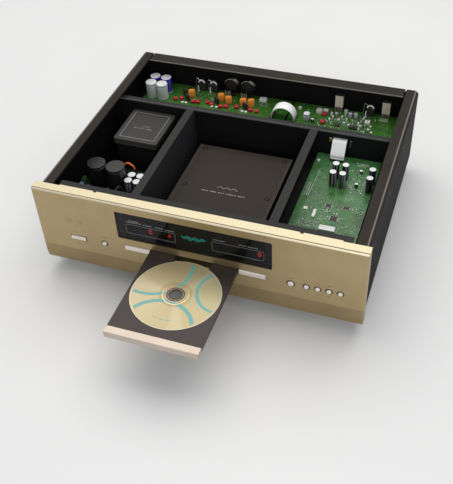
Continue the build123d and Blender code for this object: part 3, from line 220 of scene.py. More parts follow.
def panelMaterial(look):
    # Satin gold: painted shade on the lower step, a painted lit tone on top, and a painted shade line in the
    # groove behind a painted highlight on the front arris.
    graph = finish("satinGold", look["face"], look["face"], 0.38, 0.85, 2.6, relief=0.004)
    x, y, z = graph.x, graph.y, graph.z
    rows = sum(z.between(low, high) * sum(x.between(*span) for span in spans)
               for low, high, spans in look["marks"])
    marks = (y < 1.0) * rows * (graph.chance((x / look["markWidth"]).floor(), 0.0, 0.0) > 0.25)
    # Painted lit top, painted shade on the step and in the groove, and a painted highlight on the arris,
    # under the cloud and the printed marks.
    graph.set("Base Color", graph.over(
        graph.tone, (z > look["topFrom"], look["top"]),
        ((z < look["stepTop"]) * (y < look["stepDepth"]), look["step"]),
        (y.between(*look["grooveSpan"]) * (z > look["topFrom"]), look["groove"]),
        ((y < look["arrisDepth"]) * (z > look["arrisFrom"]), look["arrisHighlight"]),
        (graph.noise(0.03).ramp(0.3, 0.7) * 0.12, look["cloud"]), (marks * look["markShare"], look["mark"])))


# The wall colour is painted shade on the upright faces; the pale colour is a painted highlight along the
# edges.
frameLook = {"light": (0.042, 0.037, 0.032), "dark": (0.033, 0.029, 0.025), "wall": (0.008, 0.008, 0.008),
             "edgeHighlight": (0.24, 0.225, 0.20), "edgeHighlightShare": 0.8, "bevel": 4.4}


def frameMaterial(look):
    # Brown tops over walls darkened with painted shade; a painted pale highlight lies along the outer bevel
    # and along the rear flange's front edge.
    graph = finish("framePaint", look["light"], look["dark"], 0.6, 0.0, 3.2, relief=0.02, shine=0.05)
    (inside, _, _), (outside, _, top) = nodeBox("right_side_panel")
    rear = nodeBox("rear_panel")[0][1]
    aside, ridge = graph.x.size(), outside + top - look["bevel"]
    # Painted highlight: a pale line along the outer bevel, then along the rear flange's front edge.
    edgeHighlight = (aside + graph.z).between(ridge - 0.9, ridge + 0.1) * (graph.z > top - 1.1)
    edgeHighlight = edgeHighlight + (graph.y.between(rear - 0.1, rear + 1.0) * (aside < inside))
    graph.set("Base Color", graph.over(graph.tone, (edgeHighlight * look["edgeHighlightShare"], look["edgeHighlight"]),
                                       (graph.z < top - look["bevel"], look["wall"])))


wallFront = nodeBox("partition")[0][1]
# The edge colour is a painted highlight; the wall colour is painted shade on the faces under the flanges.
dividerLook = {"light": (0.028, 0.028, 0.027), "dark": (0.021, 0.021, 0.020), "wall": (0.0075, 0.0075, 0.008),
               "leftWall": (0.030, 0.030, 0.033), "edge": (0.17, 0.17, 0.165), "edgeShare": 0.75,
               "flange": 2.6}


def dividerMaterial(look):
    # Grey flanges with a painted highlight as a pale line along the partition's front edge; the walls under
    # the flanges get painted shade, except the left divider's face, which keeps a lighter tone.
    graph = finish("dividerPaint", look["light"], look["dark"], 0.5, 0.0, 3.2, relief=0.02, shine=0.17)
    # Painted highlight along the partition's front edge, and painted shade on the walls below the flange.
    edge = graph.y.between(wallFront - 0.1, wallFront + 0.7)
    leftFace = (graph.x < -60.0) * (graph.y < wallFront - 1.0)
    wall = graph.mix(leftFace, look["wall"], look["leftWall"])
    below = graph.z < nodeBox("partition")[1][2] - look["flange"]
    graph.set("Base Color", graph.over(graph.tone, (edge * look["edgeShare"], look["edge"]), (below, wall)))


def printedMotif(graph, centreX, centreY, width, gap):
    # Generic print without letters: a row of dashes of chance lengths, and a thin wave a gap behind it.
    across, back = graph.x - centreX, graph.y - centreY
    inside = (across - 3.0).size() < width * 0.24
    wave = ((back - (((across * 0.62).sine() * 1.6) + gap)).size() < 0.55) * inside
    dashes = graph.chance((across / 1.5).floor(), 3.0, 1.0) > 0.28
    return wave + (dashes * ((back.size() < 0.8) * (across.size() < width / 2)))


coverLook = {"light": (0.028, 0.0200, 0.0150), "dark": (0.021, 0.0162, 0.0122), "print": (0.42, 0.37, 0.28),
             "printShare": 0.75, "edge": (0.12, 0.11, 0.09), "edgeShare": 0.45,
             "motif": (-1.5, 125.0, 65.0, 12.0)}  # middle across and back, width, and gap
lidLook = {"light": (0.042, 0.041, 0.038), "dark": (0.034, 0.033, 0.031), "print": (0.34, 0.33, 0.31),
           "printShare": 0.6, "motif": (-160.0, 209.0, 29.0, 6.0)}
coverCorner = nodeBox("transport_cover")[1]


def coverMaterial(look):
    # Brown hammered plate with two pale lines along each side.
    graph = finish("coverPaint", look["light"], look["dark"], 0.48, 0.0, 2.4, (0.2, 1, 1), 0.008, patch=0.008,
                   shine=0.18)
    side, aside = coverCorner[0], graph.x.size()
    edge = (aside > side - 1.0) + aside.between(side - 3.6, side - 3.0)
    graph.set("Base Color", graph.over(
        graph.tone, (printedMotif(graph, *look["motif"]) * look["printShare"], look["print"]),
        (edge * look["edgeShare"], look["edge"])))


def lidMaterial(look):
    # Grey lid: the pale print lies over the paint where the motif is one.
    graph = finish("lidPaint", look["light"], look["dark"], 0.44, 0.0, 2.5, relief=0.012, shine=0.25)
    motif = printedMotif(graph, *look["motif"]) * look["printShare"]
    graph.set("Base Color", graph.mix(motif, graph.tone, look["print"]))


# Light tone, dark tone, roughness, metal, grain, and what departs from the usual finish.
plainFinishes = {
    "buttonMetal": ((0.90, 0.82, 0.74), (0.82, 0.73, 0.65), 0.34, 0.6, 3.0,
                    {"stretch": (0.15, 1, 1), "relief": 0.004}),
    "lipMetal": ((0.60, 0.51, 0.425), (0.52, 0.44, 0.365), 0.42, 0.55, 2.2, {"stretch": (0.05, 1, 1.6)}),
    "blackPaint": ((0.011, 0.011, 0.011), (0.007, 0.007, 0.007), 0.42, 0.0, 2.0,
                   {"relief": 0.015, "shine": 0.2}),
    "blackPlastic": ((0.016, 0.016, 0.017), (0.010, 0.010, 0.011), 0.4, 0.0, 2.4, {}),
    "trayPlastic": ((0.040, 0.030, 0.025), (0.032, 0.024, 0.020), 0.4, 0.0, 3.5, {}),
    "zincSteel": ((0.62, 0.63, 0.64), (0.50, 0.51, 0.53), 0.34, 0.9, 0.5,
                  {"stretch": (1, 0.2, 1), "relief": 0.004}),
    "brightSteel": ((0.74, 0.74, 0.75), (0.62, 0.62, 0.64), 0.22, 1.0, 2.0,
                    {"stretch": (1, 0.1, 1), "relief": 0.003}),
    "dullSteel": ((0.045, 0.040, 0.036), (0.030, 0.027, 0.024), 0.4, 0.5, 2.0, {"relief": 0.004}),
    "paleLine": ((0.30, 0.295, 0.285), (0.22, 0.216, 0.21), 0.5, 0.0, 2.0, {"relief": 0.004}),
    "silverLine": ((0.46, 0.455, 0.44), (0.36, 0.356, 0.345), 0.45, 0.0, 2.0, {"relief": 0.004}),
    # Painted shade: near black for the countersinks round the cover screws.
    "pitBlack": ((0.006, 0.006, 0.006), (0.003, 0.003, 0.003), 0.6, 0.0, 2.0,
                 {"relief": 0.004, "shine": 0.1}),
    "tinPlate": ((0.80, 0.80, 0.79), (0.66, 0.66, 0.66), 0.28, 0.9, 1.8, {"relief": 0.004}),
    "goldPlate": ((0.86, 0.66, 0.30), (0.74, 0.55, 0.22), 0.22, 1.0, 1.5, {"relief": 0.003}),
    "padFelt": ((0.030, 0.030, 0.031), (0.018, 0.018, 0.018), 0.85, 0.0, 4.0, {"relief": 0.08}),
    "rubber": ((0.034, 0.033, 0.032), (0.024, 0.023, 0.022), 0.6, 0.0, 3.0, {"relief": 0.01}),
    "gearWhite": ((0.80, 0.79, 0.73), (0.71, 0.70, 0.64), 0.42, 0.0, 1.2, {}),
    "creamPlastic": ((0.70, 0.66, 0.55), (0.60, 0.56, 0.46), 0.42, 0.0, 1.4, {"relief": 0.008}),
    "whitePart": ((0.88, 0.88, 0.86), (0.78, 0.78, 0.76), 0.36, 0.0, 1.6, {}),
    "chipBlack": ((0.036, 0.030, 0.028), (0.022, 0.019, 0.018), 0.4, 0.0, 3.5, {"relief": 0.01}),
    "dippedOrange": ((0.98, 0.40, 0.075), (0.90, 0.29, 0.04), 0.34, 0.0, 0.5, {"relief": 0.06, "coat": 0.2}),
    "crimsonSleeve": ((0.62, 0.022, 0.050), (0.50, 0.012, 0.035), 0.36, 0.0, 0.8,
                      {"relief": 0.01, "coat": 0.15}),
    "paleGreen": ((0.30, 0.44, 0.24), (0.20, 0.34, 0.16), 0.4, 0.0, 0.9, {"relief": 0.008}),
    "paleGold": ((0.88, 0.78, 0.52), (0.76, 0.66, 0.42), 0.3, 0.5, 1.5, {"relief": 0.003}),
    "paleBlue": ((0.42, 0.50, 0.66), (0.30, 0.38, 0.55), 0.4, 0.0, 1.2, {"relief": 0.008}),
    "footMetal": ((0.34, 0.34, 0.34), (0.26, 0.26, 0.26), 0.4, 0.8, 1.4, {}),
    "displayFace": ((0.016, 0.015, 0.016), (0.009, 0.009, 0.010), 0.3, 0.0, 1.0, {"relief": 0.01}),
    "floorPaint": ((0.80, 0.80, 0.80), (0.78, 0.78, 0.78), 0.6, 0.0, 0.01, {"relief": 0, "patch": 0.001}),
}

boardLooks = {
    "rearBoardGreen": {"light": (0.045, 0.172, 0.018), "dark": (0.030, 0.115, 0.012),
                       "track": (0.065, 0.215, 0.034), "glow": (0.065, 0.220, 0.034)},
    "mainBoardGreen": {"light": (0.050, 0.175, 0.048), "dark": (0.026, 0.105, 0.018),
                       "track": (0.075, 0.225, 0.080), "glow": (0.090, 0.235, 0.105)},
    # Painted shade: the supply board's green is darkened nearly to black where it lies low in its bay.
    "powerBoardGreen": {"light": (0.008, 0.026, 0.007), "dark": (0.005, 0.015, 0.004),
                        "track": (0.016, 0.045, 0.014), "glow": (0.012, 0.034, 0.011)},
}


def boardMaterial(name, look):
    # Solder mask over tracks: each square of the board runs its tracks one way, or has none.
    graph = Graph(name)
    squareX, squareY = (graph.x / 7.0).floor(), (graph.y / 7.0).floor()
    pick = graph.chance(squareX, squareY, 0.0)
    across, along = (((way / 1.3).fract()).between(0.2, 0.62) for way in (graph.x, graph.y))
    tracks = (across * pick.between(0.12, 0.4)) + (along * pick.between(0.4, 0.66))
    flat = graph.stretch(1, 1, 0)
    dots = graph.node("ShaderNodeTexVoronoi", {}, {"Vector": flat, "Scale": 0.45})
    pads = (Value(graph, dots.outputs["Distance"]) < 0.17) * (graph.chance(squareY, squareX, 1.0) > 0.42)
    wander = graph.noise(0.035)
    graph.set("Base Color", graph.over(
        look["dark"], (wander.ramp(0.35, 0.65), look["light"]), (tracks * 0.75, look["track"]),
        (graph.noise(0.02, 1.0, flat).ramp(0.52, 0.7) * 0.5, look["glow"]), (pads, (0.62, 0.62, 0.56))))
    graph.set("Roughness", (wander * 0.12) + 0.26)
    graph.set("Metallic", pads * 0.8)
    graph.set("Coat Weight", 0.12)
    graph.set("Specular IOR Level", 0.35)
    graph.bump(tracks + pads, 0.03)


# Base, stripe, how narrow the stripes are, and the share of each sleeve that has none.
sleeveLooks = {
    "silverSleeve": ((0.62, 0.64, 0.66), (0.76, 0.78, 0.78), 0.4, 0.72),
    "blueSleeve": ((0.022, 0.020, 0.30), (0.10, 0.10, 0.46), 0.3, 0.72),
    "blackSleeve": ((0.009, 0.009, 0.010), (0.30, 0.31, 0.34), 1.3, 0.78),
    "lilacSleeve": ((0.045, 0.040, 0.075), (0.52, 0.50, 0.66), 0.8, 0.62),
    "paleSleeve": ((0.40, 0.36, 0.46), (0.62, 0.60, 0.68), 0.7, 0.5),
    "darkSleeve": ((0.010, 0.010, 0.010), (0.030, 0.030, 0.030), 0.12, 0.72),
}
topLooks = {"brightTop": ((0.84, 0.84, 0.83), (0.74, 0.74, 0.74), 0.15),
            "greyTop": ((0.042, 0.042, 0.042), (0.034, 0.034, 0.034), 0.0)}


def sleeveMaterial(name, base, stripe, turn, bare):
    # Shrink sleeve: upright stripes broken into marks down the side of each can.
    graph = Graph(name)
    fine = graph.noise(0.9)
    marks = graph.node("ShaderNodeTexWave", {"bands_direction": "Z"},
                       {"Vector": graph.place, "Scale": 0.11, "Distortion": 0.0}).outputs[1]
    side = graph.chance((graph.x * turn).floor(), (graph.y * 0.2).floor(), 0.0) > bare
    graph.set("Base Color", graph.mix(side * (Value(graph, marks) > 0.2), base, stripe))
    graph.set("Roughness", (fine * 0.12) + 0.3)
    graph.set("Coat Weight", 0.15)
    graph.set("Specular IOR Level", 0.4)
    graph.bump(fine, 0.02)


def topMaterial(name, light, dark, metal):
    # Pressed can top: the tone goes from dark to light with the grain, which also gives a low relief.
    graph = Graph(name)
    fine = graph.noise(1.6)
    graph.set("Base Color", graph.mix(fine.ramp(0.35, 0.65), dark, light))
    graph.set("Metallic", metal)
    graph.set("Roughness", (fine * 0.16) + 0.34)
    graph.set("Specular IOR Level", 0.3)
    graph.bump(fine, 0.01)


def glassMaterial():
    # Dark window: part of the light goes through, the rest is tinted black gloss.
    graph = Graph("darkGlass")
    smear = graph.noise(0.02)
    graph.set("Base Color", graph.mix(smear, (0.006, 0.006, 0.007), (0.011, 0.010, 0.010)))
    graph.set("Roughness", (smear * 0.05) + 0.05)
    graph.set("Alpha", (smear * 0.04) + 0.42)
    graph.material.surface_render_method = "BLENDED"


discLook = {
    # The two sector tones, the olive tint and the glint are painted reflections that turn with the angle
    # round the hub.
    "tones": ((0.48, 0.395, 0.215), (0.54, 0.455, 0.28)), "oliveReflection": (0.42, 0.41, 0.21),
    "glint": (0.66, 0.59, 0.43), "inner": (0.36, 0.25, 0.12), "print": (0.10, 0.42, 0.40),
    "hub": (0.060, 0.036, 0.018), "ring": (0.62, 0.56, 0.46), "rim": (0.70, 0.66, 0.50),
    "arcs": ((-4, -60, 46, 2.7), (-44, 40, 50, 2.3), (60, 20, 36, 2.0)),  # centre, radius and width
}


def discMaterial(look):
    # Mirror under lacquer: painted reflections change the tone by sector round the hub, with a painted olive
    # tint and a painted glint, under a generic print of three arcs.
    graph = Graph("discPrint")
    low, high = nodeBox("disc")
    across, back = graph.x - (low[0] + high[0]) / 2, graph.y - (low[1] + high[1]) / 2
    reach = ((across * across) + (back * back)).root()
    angle = graph.maths("ARCTAN2", back, across)
    motif = 0.0
    for centreX, centreY, radius, width in look["arcs"]:
        aside, away = across - centreX, back - centreY
        gap = (((aside * aside) + (away * away)).root() - radius).size()
        motif = graph.maths("MAXIMUM", motif, gap < width)
    motif = motif * reach.between(14.0, 56.5)
    dashes = reach.between(44.0, 45.3) * ((angle * 30.0).sine() > -0.2) * angle.between(-1.9, -1.3)
    motif = graph.maths("MAXIMUM", motif, dashes)
    rings = graph.maths("MAXIMUM", reach.between(9.7, 10.3), reach.between(12.3, 12.9))
    # Painted reflections by angle, then the inner band, the print, the hub, the rings and the rim.
    graph.set("Base Color", graph.over(
        graph.mix((((angle * 2.0) + 0.9).sine() * 0.5) + 0.5, *look["tones"]),
        ((angle + 1.1).sine().ramp(0.2, 1.0, 0.0, 0.4), look["oliveReflection"]),
        (((angle * 3.0) - 1.1).sine().ramp(0.75, 1.0) * 0.3, look["glint"]),
        (reach.between(12.8, 22.0) * 0.45, look["inner"]), (motif * 0.85, look["print"]),
        (reach < 12.6, look["hub"]), (rings * 0.7, look["ring"]), ((reach > 58.8) * 0.6, look["rim"])))
    graph.set("Metallic", 0.30 - (motif * 0.2))
    graph.set("Roughness", (motif * 0.12) + 0.38)
    graph.set("Coat Weight", 0.12)
    graph.set("Specular IOR Level", 0.4)
    graph.bump((reach * 2.2).sine(), 0.003)


# The groove colour is painted shade between the wires.
cableLook = {"white": (0.95, 0.95, 0.96), "groove": (0.80, 0.80, 0.82), "pitch": 1.27,
             "wire": ((0.90, 0.26, 0.06), (0.74, 0.17, 0.04)), "wireFoot": (0.03, 0.02, 0.02),
             "archFrom": 60.0, "leftBayTo": 200.0, "wireFrom": 94.0}


def cableMaterial(look):
    # White flat cable with its wires side by side and painted shade in the grooves between them; the wire in
    # the left bay is orange, dark at its feet.
    graph = Graph("ribbon")
    wires, turned = (((way / look["pitch"]).fract() - 0.5).size() for way in (graph.x, graph.y))
    arch = graph.x < look["archFrom"]
    ridge = (wires * (1.0 - arch)) + (turned * arch)
    wire = graph.mix(graph.z < look["wireFrom"], graph.mix(graph.noise(0.3), *look["wire"]), look["wireFoot"])
    # Painted shade: the grooves between the wires are grey.
    white = graph.mix(ridge.ramp(0.3, 0.5), look["white"], look["groove"])
    graph.set("Base Color", graph.mix(graph.y < look["leftBayTo"], white, wire))
    graph.set("Roughness", (ridge * 0.1) + 0.4)
    graph.set("Specular IOR Level", 0.3)
    graph.bump(0.5 - ridge, 0.12)


socketLook = {"cream": ((0.62, 0.55, 0.44), (0.70, 0.63, 0.51)),
              "contacts": ((0.055, 0.045, 0.038), (0.22, 0.20, 0.165)),
              "top": (0.05, 0.045, 0.04), "outside": (0.020, 0.020, 0.020),
              "faceFrom": 102.5, "topFrom": 123.2, "outsideFrom": 376.0}


def socketMaterial(look):
    # Cream face inside the case, with a brown lower part and a dark top; dark shutters outside.
    graph = Graph("socketCream")
    fine = graph.noise(1.4, 3.0)
    contacts = graph.mix((graph.x / 3.1).fract() > 0.6, *look["contacts"])
    graph.set("Base Color", graph.over(
        graph.mix(fine, *look["cream"]), (graph.z < look["faceFrom"], contacts),
        (graph.z > look["topFrom"], look["top"]), (graph.y > look["outsideFrom"], look["outside"])))
    graph.set("Roughness", (fine * 0.14) + 0.36)
    graph.set("Specular IOR Level", 0.3)
    graph.bump(fine, 0.01)


platedLooks = {"platedGold": ((0.86, 0.66, 0.30), 380.5), "platedTin": ((0.70, 0.70, 0.70), 381.5)}
glowLooks = {
    "redLamp": ((0.80, 0.030, 0.030), 0.8), "tealLamp": ((0.02, 0.60, 0.47), 1.1),
    # The grey, frame and faint lines are printed legends given a painted glow; the red and teal marks are lit
    # segments.
    "greyLine": ((0.46, 0.48, 0.48), 0.9), "frameLine": ((0.26, 0.29, 0.29), 0.45),
    "faintLine": ((0.30, 0.31, 0.32), 0.4),
}


def faded(colour, share):
    return tuple(share * part for part in colour)


def platedMaterial(name, plate, wall):
    # Black inside the case; the metal of the barrel shows outside the rear panel.
    graph = Graph(name)
    fine = graph.noise(1.6, 3.0)
    outside = graph.y > wall
    metal = graph.mix(fine, plate, faded(plate, 0.86))
    graph.set("Base Color", graph.mix(outside, (0.012, 0.012, 0.013), metal))
    graph.set("Metallic", outside * 0.95)
    graph.set("Roughness", (fine * 0.12) + (0.4 - (outside * 0.16)))
    graph.bump(fine, 0.004)


def glowMaterial(name, colour, strength):
    # Glowing mark, either a lit segment or a printed line with painted glow: its tone wanders between the
    # colour and four fifths of it, and shines by its strength.
    graph = Graph(name)
    tone = graph.mix(graph.noise(2.0), colour, faded(colour, 0.8))
    graph.set("Base Color", tone)
    graph.set("Emission Color", tone)
    graph.set("Emission Strength", strength)
    graph.set("Roughness", 0.5)


panelMaterial(panelLook)
frameMaterial(frameLook)
dividerMaterial(dividerLook)
coverMaterial(coverLook)
lidMaterial(lidLook)
glassMaterial()
discMaterial(discLook)
cableMaterial(cableLook)
socketMaterial(socketLook)
for name, (light, dark, rough, metal, grain, more) in plainFinishes.items():
    finish(name, light, dark, rough, metal, grain, **more)
for name, look in boardLooks.items():
    boardMaterial(name, look)
for maker, looks in ((sleeveMaterial, sleeveLooks), (topMaterial, topLooks), (platedMaterial, platedLooks),
                     (glowMaterial, glowLooks)):
    for name, look in looks.items():
        maker(name, *look)
print("materials", len(bpy.data.materials))

nodeMaterials = {
    "satinGold": ["front_panel"],
    "darkGlass": ["display_window"],
    "displayFace": ["display_board"],
    "framePaint": ["right_side_panel", "left_side_panel", "rear_panel", "base_plate"],
    "dividerPaint": ["front_rail", "partition", "long_dividers", "board_decks"],
    "coverPaint": ["transport_cover"],
    "lidPaint": ["transformer_lid"],
    "blackPaint": ["transformer_case"],
    "blackPlastic": ["transport_base", "tray_guides", "clamp_puck", "turntable", "pickup", "mains_inlet"],
    "trayPlastic": ["tray", "tray_rack"],
    "lipMetal": ["tray_lip"],
    "discPrint": ["disc"],
    "zincSteel": ["board_standoffs", "clamp_bridge", "traverse_frame", "loader_motor", "traverse_motors"],
    "brightSteel": ["pickup_shafts"],
    "dullSteel": ["cover_screws"],
    "rearBoardGreen": ["rear_boards", "switch_boards"],
    "mainBoardGreen": ["main_board"],
    "powerBoardGreen": ["power_board"],
    "ribbon": ["board_cables"],
    "gearWhite": ["motor_wheel", "drive_gear", "sled_gear", "lift_cam"],
    "rubber": ["loader_belt"],
    "padFelt": ["foot_pads"],
    "footMetal": ["feet"],
    "platedGold": ["rca_sockets"],
    "platedTin": ["xlr_sockets"],
    "socketCream": ["digital_sockets"],
    "buttonMetal": ["power_button", "left_bar_button", "right_bar_button", "side_button", "large_button",
                    "round_button_1", "round_button_2", "round_button_3", "round_button_4"],
}
for materialName, names in nodeMaterials.items():
    for name in names:
        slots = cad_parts[name].data.materials
        slots.clear()
        slots.append(bpy.data.materials[materialName])
print("CAD nodes dressed", sum(len(names) for names in nodeMaterials.values()))


def turned(points, axis):
    # Turns a shape that stands on Z so that it points along another axis.
    x, y, z = points.T
    ways = {"z": (x, y, z), "front": (x, -z, y), "back": (x, z, -y), "right": (z, y, -x), "left": (-z, y, x),
            "down": (x, -y, -z)}
    return np.stack(ways[axis], -1)


def loft(rings, wrap=False):
    # Closed body through rings of points; the ends get flat caps unless the rings wrap round.
    rings = np.asarray(rings, float)
    count, around = rings.shape[:2]
    i = np.arange(count if wrap else count - 1)[:, None]
    j = np.arange(around)[None, :]
    after, beside = (i + 1) % count, (j + 1) % around
    sides = [i * around + j, i * around + beside, after * around + beside, after * around + j]
    faces = [np.stack(sides, -1).reshape(-1, 4)]
    if not wrap:
        faces += [np.arange(around)[::-1][None, :], (np.arange(around) + (count - 1) * around)[None, :]]
    return rings.reshape(-1, 3), faces


def lathe(profile, at, axis="z", around=32, wrap=False):
    # Body of revolution through (radius, height) pairs, set at a place.
    angles = np.arange(around) * 2 * pi / around
    radius, height = np.array(profile, float).T
    rings = np.stack([radius[:, None] * np.cos(angles), radius[:, None] * np.sin(angles),
                      np.repeat(height[:, None], around, 1)], -1)
    points, faces = loft(rings, wrap)
    return turned(points, axis) + np.array(at, float), faces


def collar(inner, outer, low, high, at, axis="z", around=40):
    # Square ring between two radii and two heights.
    return lathe([(inner, low), (outer, low), (outer, high), (inner, high)], at, axis, around, wrap=True)


def crateTemplate():
    # Three points at each corner of a box, one for each face that meets there, and all faces outwards.
    signs = np.array([(x, y, z) for x in (-1, 1) for y in (-1, 1) for z in (-1, 1)])

    def corner(axis, *ways):
        # Number of the corner that lies these ways along the axis and the two after it.
        return sum((4, 2, 1)[(axis + k) % 3] for k, way in enumerate(ways) if way > 0)

    quads, ring = [], ((-1, -1), (1, -1), (1, 1), (-1, 1))
    for axis in range(3):
        a, b = (axis + 1) % 3, (axis + 2) % 3
        for side in (-1, 1):
            quads.append([corner(axis, side, *ways) * 3 + axis for ways in ring])
        for ways in ((-1, -1), (-1, 1), (1, -1), (1, 1)):
            low, high = corner(axis, -1, *ways) * 3, corner(axis, 1, *ways) * 3
            quads.append([low + a, high + a, high + b, low + b])
    triangles = [[number * 3 + k for k in range(3)] for number in range(8)]
    inset = np.repeat(signs, 3, 0).astype(float)
    full = np.eye(3)[np.tile(np.arange(3), 8)]
    points = inset * (0.8 + 0.2 * full)

    def outward(face):
        a, b, c = points[face[:3]]
        return face if np.dot(np.cross(b - a, c - a), points[face].mean(0)) > 0 else face[::-1]

    return inset, full, np.array([outward(f) for f in quads]), np.array([outward(f) for f in triangles])


crateSigns, crateFull, crateQuads, crateTriangles = crateTemplate()


def crates(centres, halves, bevel=0.15, turns=0.0):
    # Many blocks with chamfered edges at once. Each may be turned about Z.
    centres = np.atleast_2d(np.asarray(centres, float))
    count = len(centres)
    halves = np.broadcast_to(np.asarray(halves, float), (count, 3))
    bevels = np.minimum(np.broadcast_to(bevel, (count,)), halves.min(1) * 0.6)[:, None, None]
    local = crateSigns[None] * (halves[:, None] - bevels * (1 - crateFull[None]))
    points = spun(local, turns, count) + centres[:, None]
    steps = (np.arange(count) * 24)[:, None, None]
    return points.reshape(-1, 3), [(crateQuads[None] + steps).reshape(-1, 4),
                                   (crateTriangles[None] + steps).reshape(-1, 3)]


def spun(local, turns, count):
    # Sets of points turned about Z, each set by its own angle.
    turns = np.broadcast_to(turns, (count,))[:, None]
    x = local[..., 0] * np.cos(turns) - local[..., 1] * np.sin(turns)
    y = local[..., 0] * np.sin(turns) + local[..., 1] * np.cos(turns)
    return np.stack([x, y, local[..., 2]], -1)


def crate(x0, x1, y0, y1, z0, z1, bevel=0.3):
    return crates([((x0 + x1) / 2, (y0 + y1) / 2, (z0 + z1) / 2)],
                  [((x1 - x0) / 2, (y1 - y0) / 2, (z1 - z0) / 2)], bevel)


def repeated(shape, places):
    # The same shape at many places.
    points, faces = shape
    moved = points[None] + np.asarray(places, float)[:, None]
    steps = (np.arange(len(places)) * len(points))[:, None, None]
    return moved.reshape(-1, 3), [(f[None] + steps).reshape(-1, f.shape[1]) for f in faces]


def tube(path, radius, around=10):
    # Round bar along a path; each ring stands square to the way it runs there.
    path = np.asarray(path, float)
    ahead = np.gradient(path, axis=0)
    ahead /= np.linalg.norm(ahead, axis=1)[:, None]
    side = np.cross(ahead, np.array([0.31, 0.17, 0.93]))
    side /= np.linalg.norm(side, axis=1)[:, None]
    up = np.cross(side, ahead)
    angles = np.arange(around)[None, :, None] * 2 * pi / around
    return loft(path[:, None] + radius * (np.cos(angles) * side[:, None] - np.sin(angles) * up[:, None]))


def roundedRing(width, height, corner):
    # Outline of a rectangle with round corners, as (across, up) points.
    angles = np.linspace(0, pi / 2, 6)
    points = []
    for number, (sx, sy) in enumerate(((1, 1), (-1, 1), (-1, -1), (1, -1))):
        start = angles + number * pi / 2
        points.append(np.stack([sx * (width / 2 - corner) + corner * np.cos(start),
                                sy * (height / 2 - corner) + corner * np.sin(start)], -1))
    return np.concatenate(points)


def rim(width, height, corner, line, thick, at, axis="z"):
    # Thin rounded frame: an outer and an inner outline joined over a low thickness.
    outer = roundedRing(width, height, corner)
    inner = roundedRing(width - 2 * line, height - 2 * line, max(corner - line, 0.2))
    points, faces = loft([np.column_stack([outline, np.full(len(outline), level)]) for outline, level in
                          ((outer, 0), (outer, thick), (inner, thick), (inner, 0))], wrap=True)
    return turned(points, axis) + np.array(at, float), faces


def softBlock(width, depth, corner, height, stages, at, turn=0.0):
    # Block with soft corners through stages of (share of the height, share of the width).
    rings = [np.column_stack([roundedRing(width * grow, depth * grow, corner * grow),
                              np.full(24, height * share)]) for share, grow in stages]
    points, faces = loft(rings)
    return spun(points[None], turn, 1)[0] + np.array(at, float), faces


class Shape:
    # Gathers closed bodies into one piece; each body names its material.
    def __init__(self):
        self.points, self.blocks, self.count, self.materials = [], [], 0, []

    def add(self, body, material):
        points, faces = body
        if material not in self.materials:
            self.materials.append(material)
        self.points.append(points)
        self.blocks += [(block + self.count, self.materials.index(material)) for block in faces]
        self.count += len(points)

    def addAll(self, bodies, materials):
        for body, material in zip(bodies, materials):
            self.add(body, material)

    def build(self, name, slot, body="player", replaces=()):
        points = np.concatenate(self.points) / 1000
        points[:, 1] += panelFront
        loops = np.concatenate([block.ravel() for block, _ in self.blocks])
        sizes = np.concatenate([np.full(len(block), block.shape[1]) for block, _ in self.blocks])
        numbers = np.concatenate([np.full(len(block), number) for block, number in self.blocks])
        mesh = bpy.data.meshes.new(name)
        mesh.vertices.add(len(points))
        mesh.vertices.foreach_set("co", points.astype(np.float32).ravel())
        mesh.loops.add(len(loops))
        mesh.loops.foreach_set("vertex_index", loops.astype(np.int32))
        mesh.polygons.add(len(sizes))
        starts = np.concatenate([[0], np.cumsum(sizes)[:-1]])
        mesh.polygons.foreach_set("loop_start", starts.astype(np.int32))
        for material in self.materials:
            mesh.materials.append(bpy.data.materials[material])
        mesh.polygons.foreach_set("material_index", numbers.astype(np.int32))
        mesh.polygons.foreach_set("use_smooth", np.ones(len(sizes), bool))
        mesh.update(calc_edges=True)
        mesh.validate()
        mesh.set_sharp_from_angle(angle=radians(38))
        piece = bpy.data.objects.new(name, mesh)
        bpy.context.scene.collection.objects.link(piece)
        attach(piece, body)
        if replaces:
            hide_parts(*replaces)


displayLook = {
    "y": 3.85, "thick": 0.12,
    "frames": (-61.3, 61.9), "frameLevel": 108.4, "frameSize": (71.5, 16.4, 2.4, 0.45),
    "captions": (20, 30, 99.2),  # from and to beside a frame's middle, and the height
    "captionMarks": (0.3, (1.2, 3.0)), "wordMarks": (0.42, (0.9, 2.4)), "markGaps": (0.5, 1.6),
    "words": ((-96, -74, 120.6), (-71, -60, 120.2), (-53, -43, 120.4), (-39, -27, 119.6), (-92, -79, 123.0),
              (29, 44, 120.6), (64, 72, 120.4), (76, 90, 120.0)),
    "figures": (("0", -61.1, 110.4, 6.2), ("8", -33.8, 109.8, 4.8), ("0", 91.8, 110.4, 6.2)),
    "bezel": (215.2, 43.6, 2.2, 0.5, 0.3), "bezelPlace": (0, 3.7, 114.8),
    # Each wave goes from and to a place at a level, with a phase and a radius.
    "waves": ((-16.5, 17.0, 114.6, 0.0, 0.26), (-13.5, 13.5, 111.4, 1.0, 0.18)),
}


def sevenSegments(digit, x, z, height):
    # Bars of one seven-segment figure: each stands at (across, up) and lies flat or upright.
    width, thick = height * 0.5, height * 0.085
    bars = {"a": (0, 1, 1), "b": (1, 0.5, 0), "c": (1, -0.5, 0), "d": (0, -1, 1), "e": (-1, -0.5, 0),
            "f": (-1, 0.5, 0), "g": (0, 0, 1)}
    centres, halves = [], []
    for bar in {"0": "abcdef", "8": "abcdefg"}[digit]:
        across, up, flat = bars[bar]
        centres.append((x + across * width / 2, displayLook["y"], z + up * height / 2))
        halves.append((width * 0.38, 0.12, thick) if flat else (thick, 0.12, height * 0.19))
    return crates(centres, halves, 0.04)


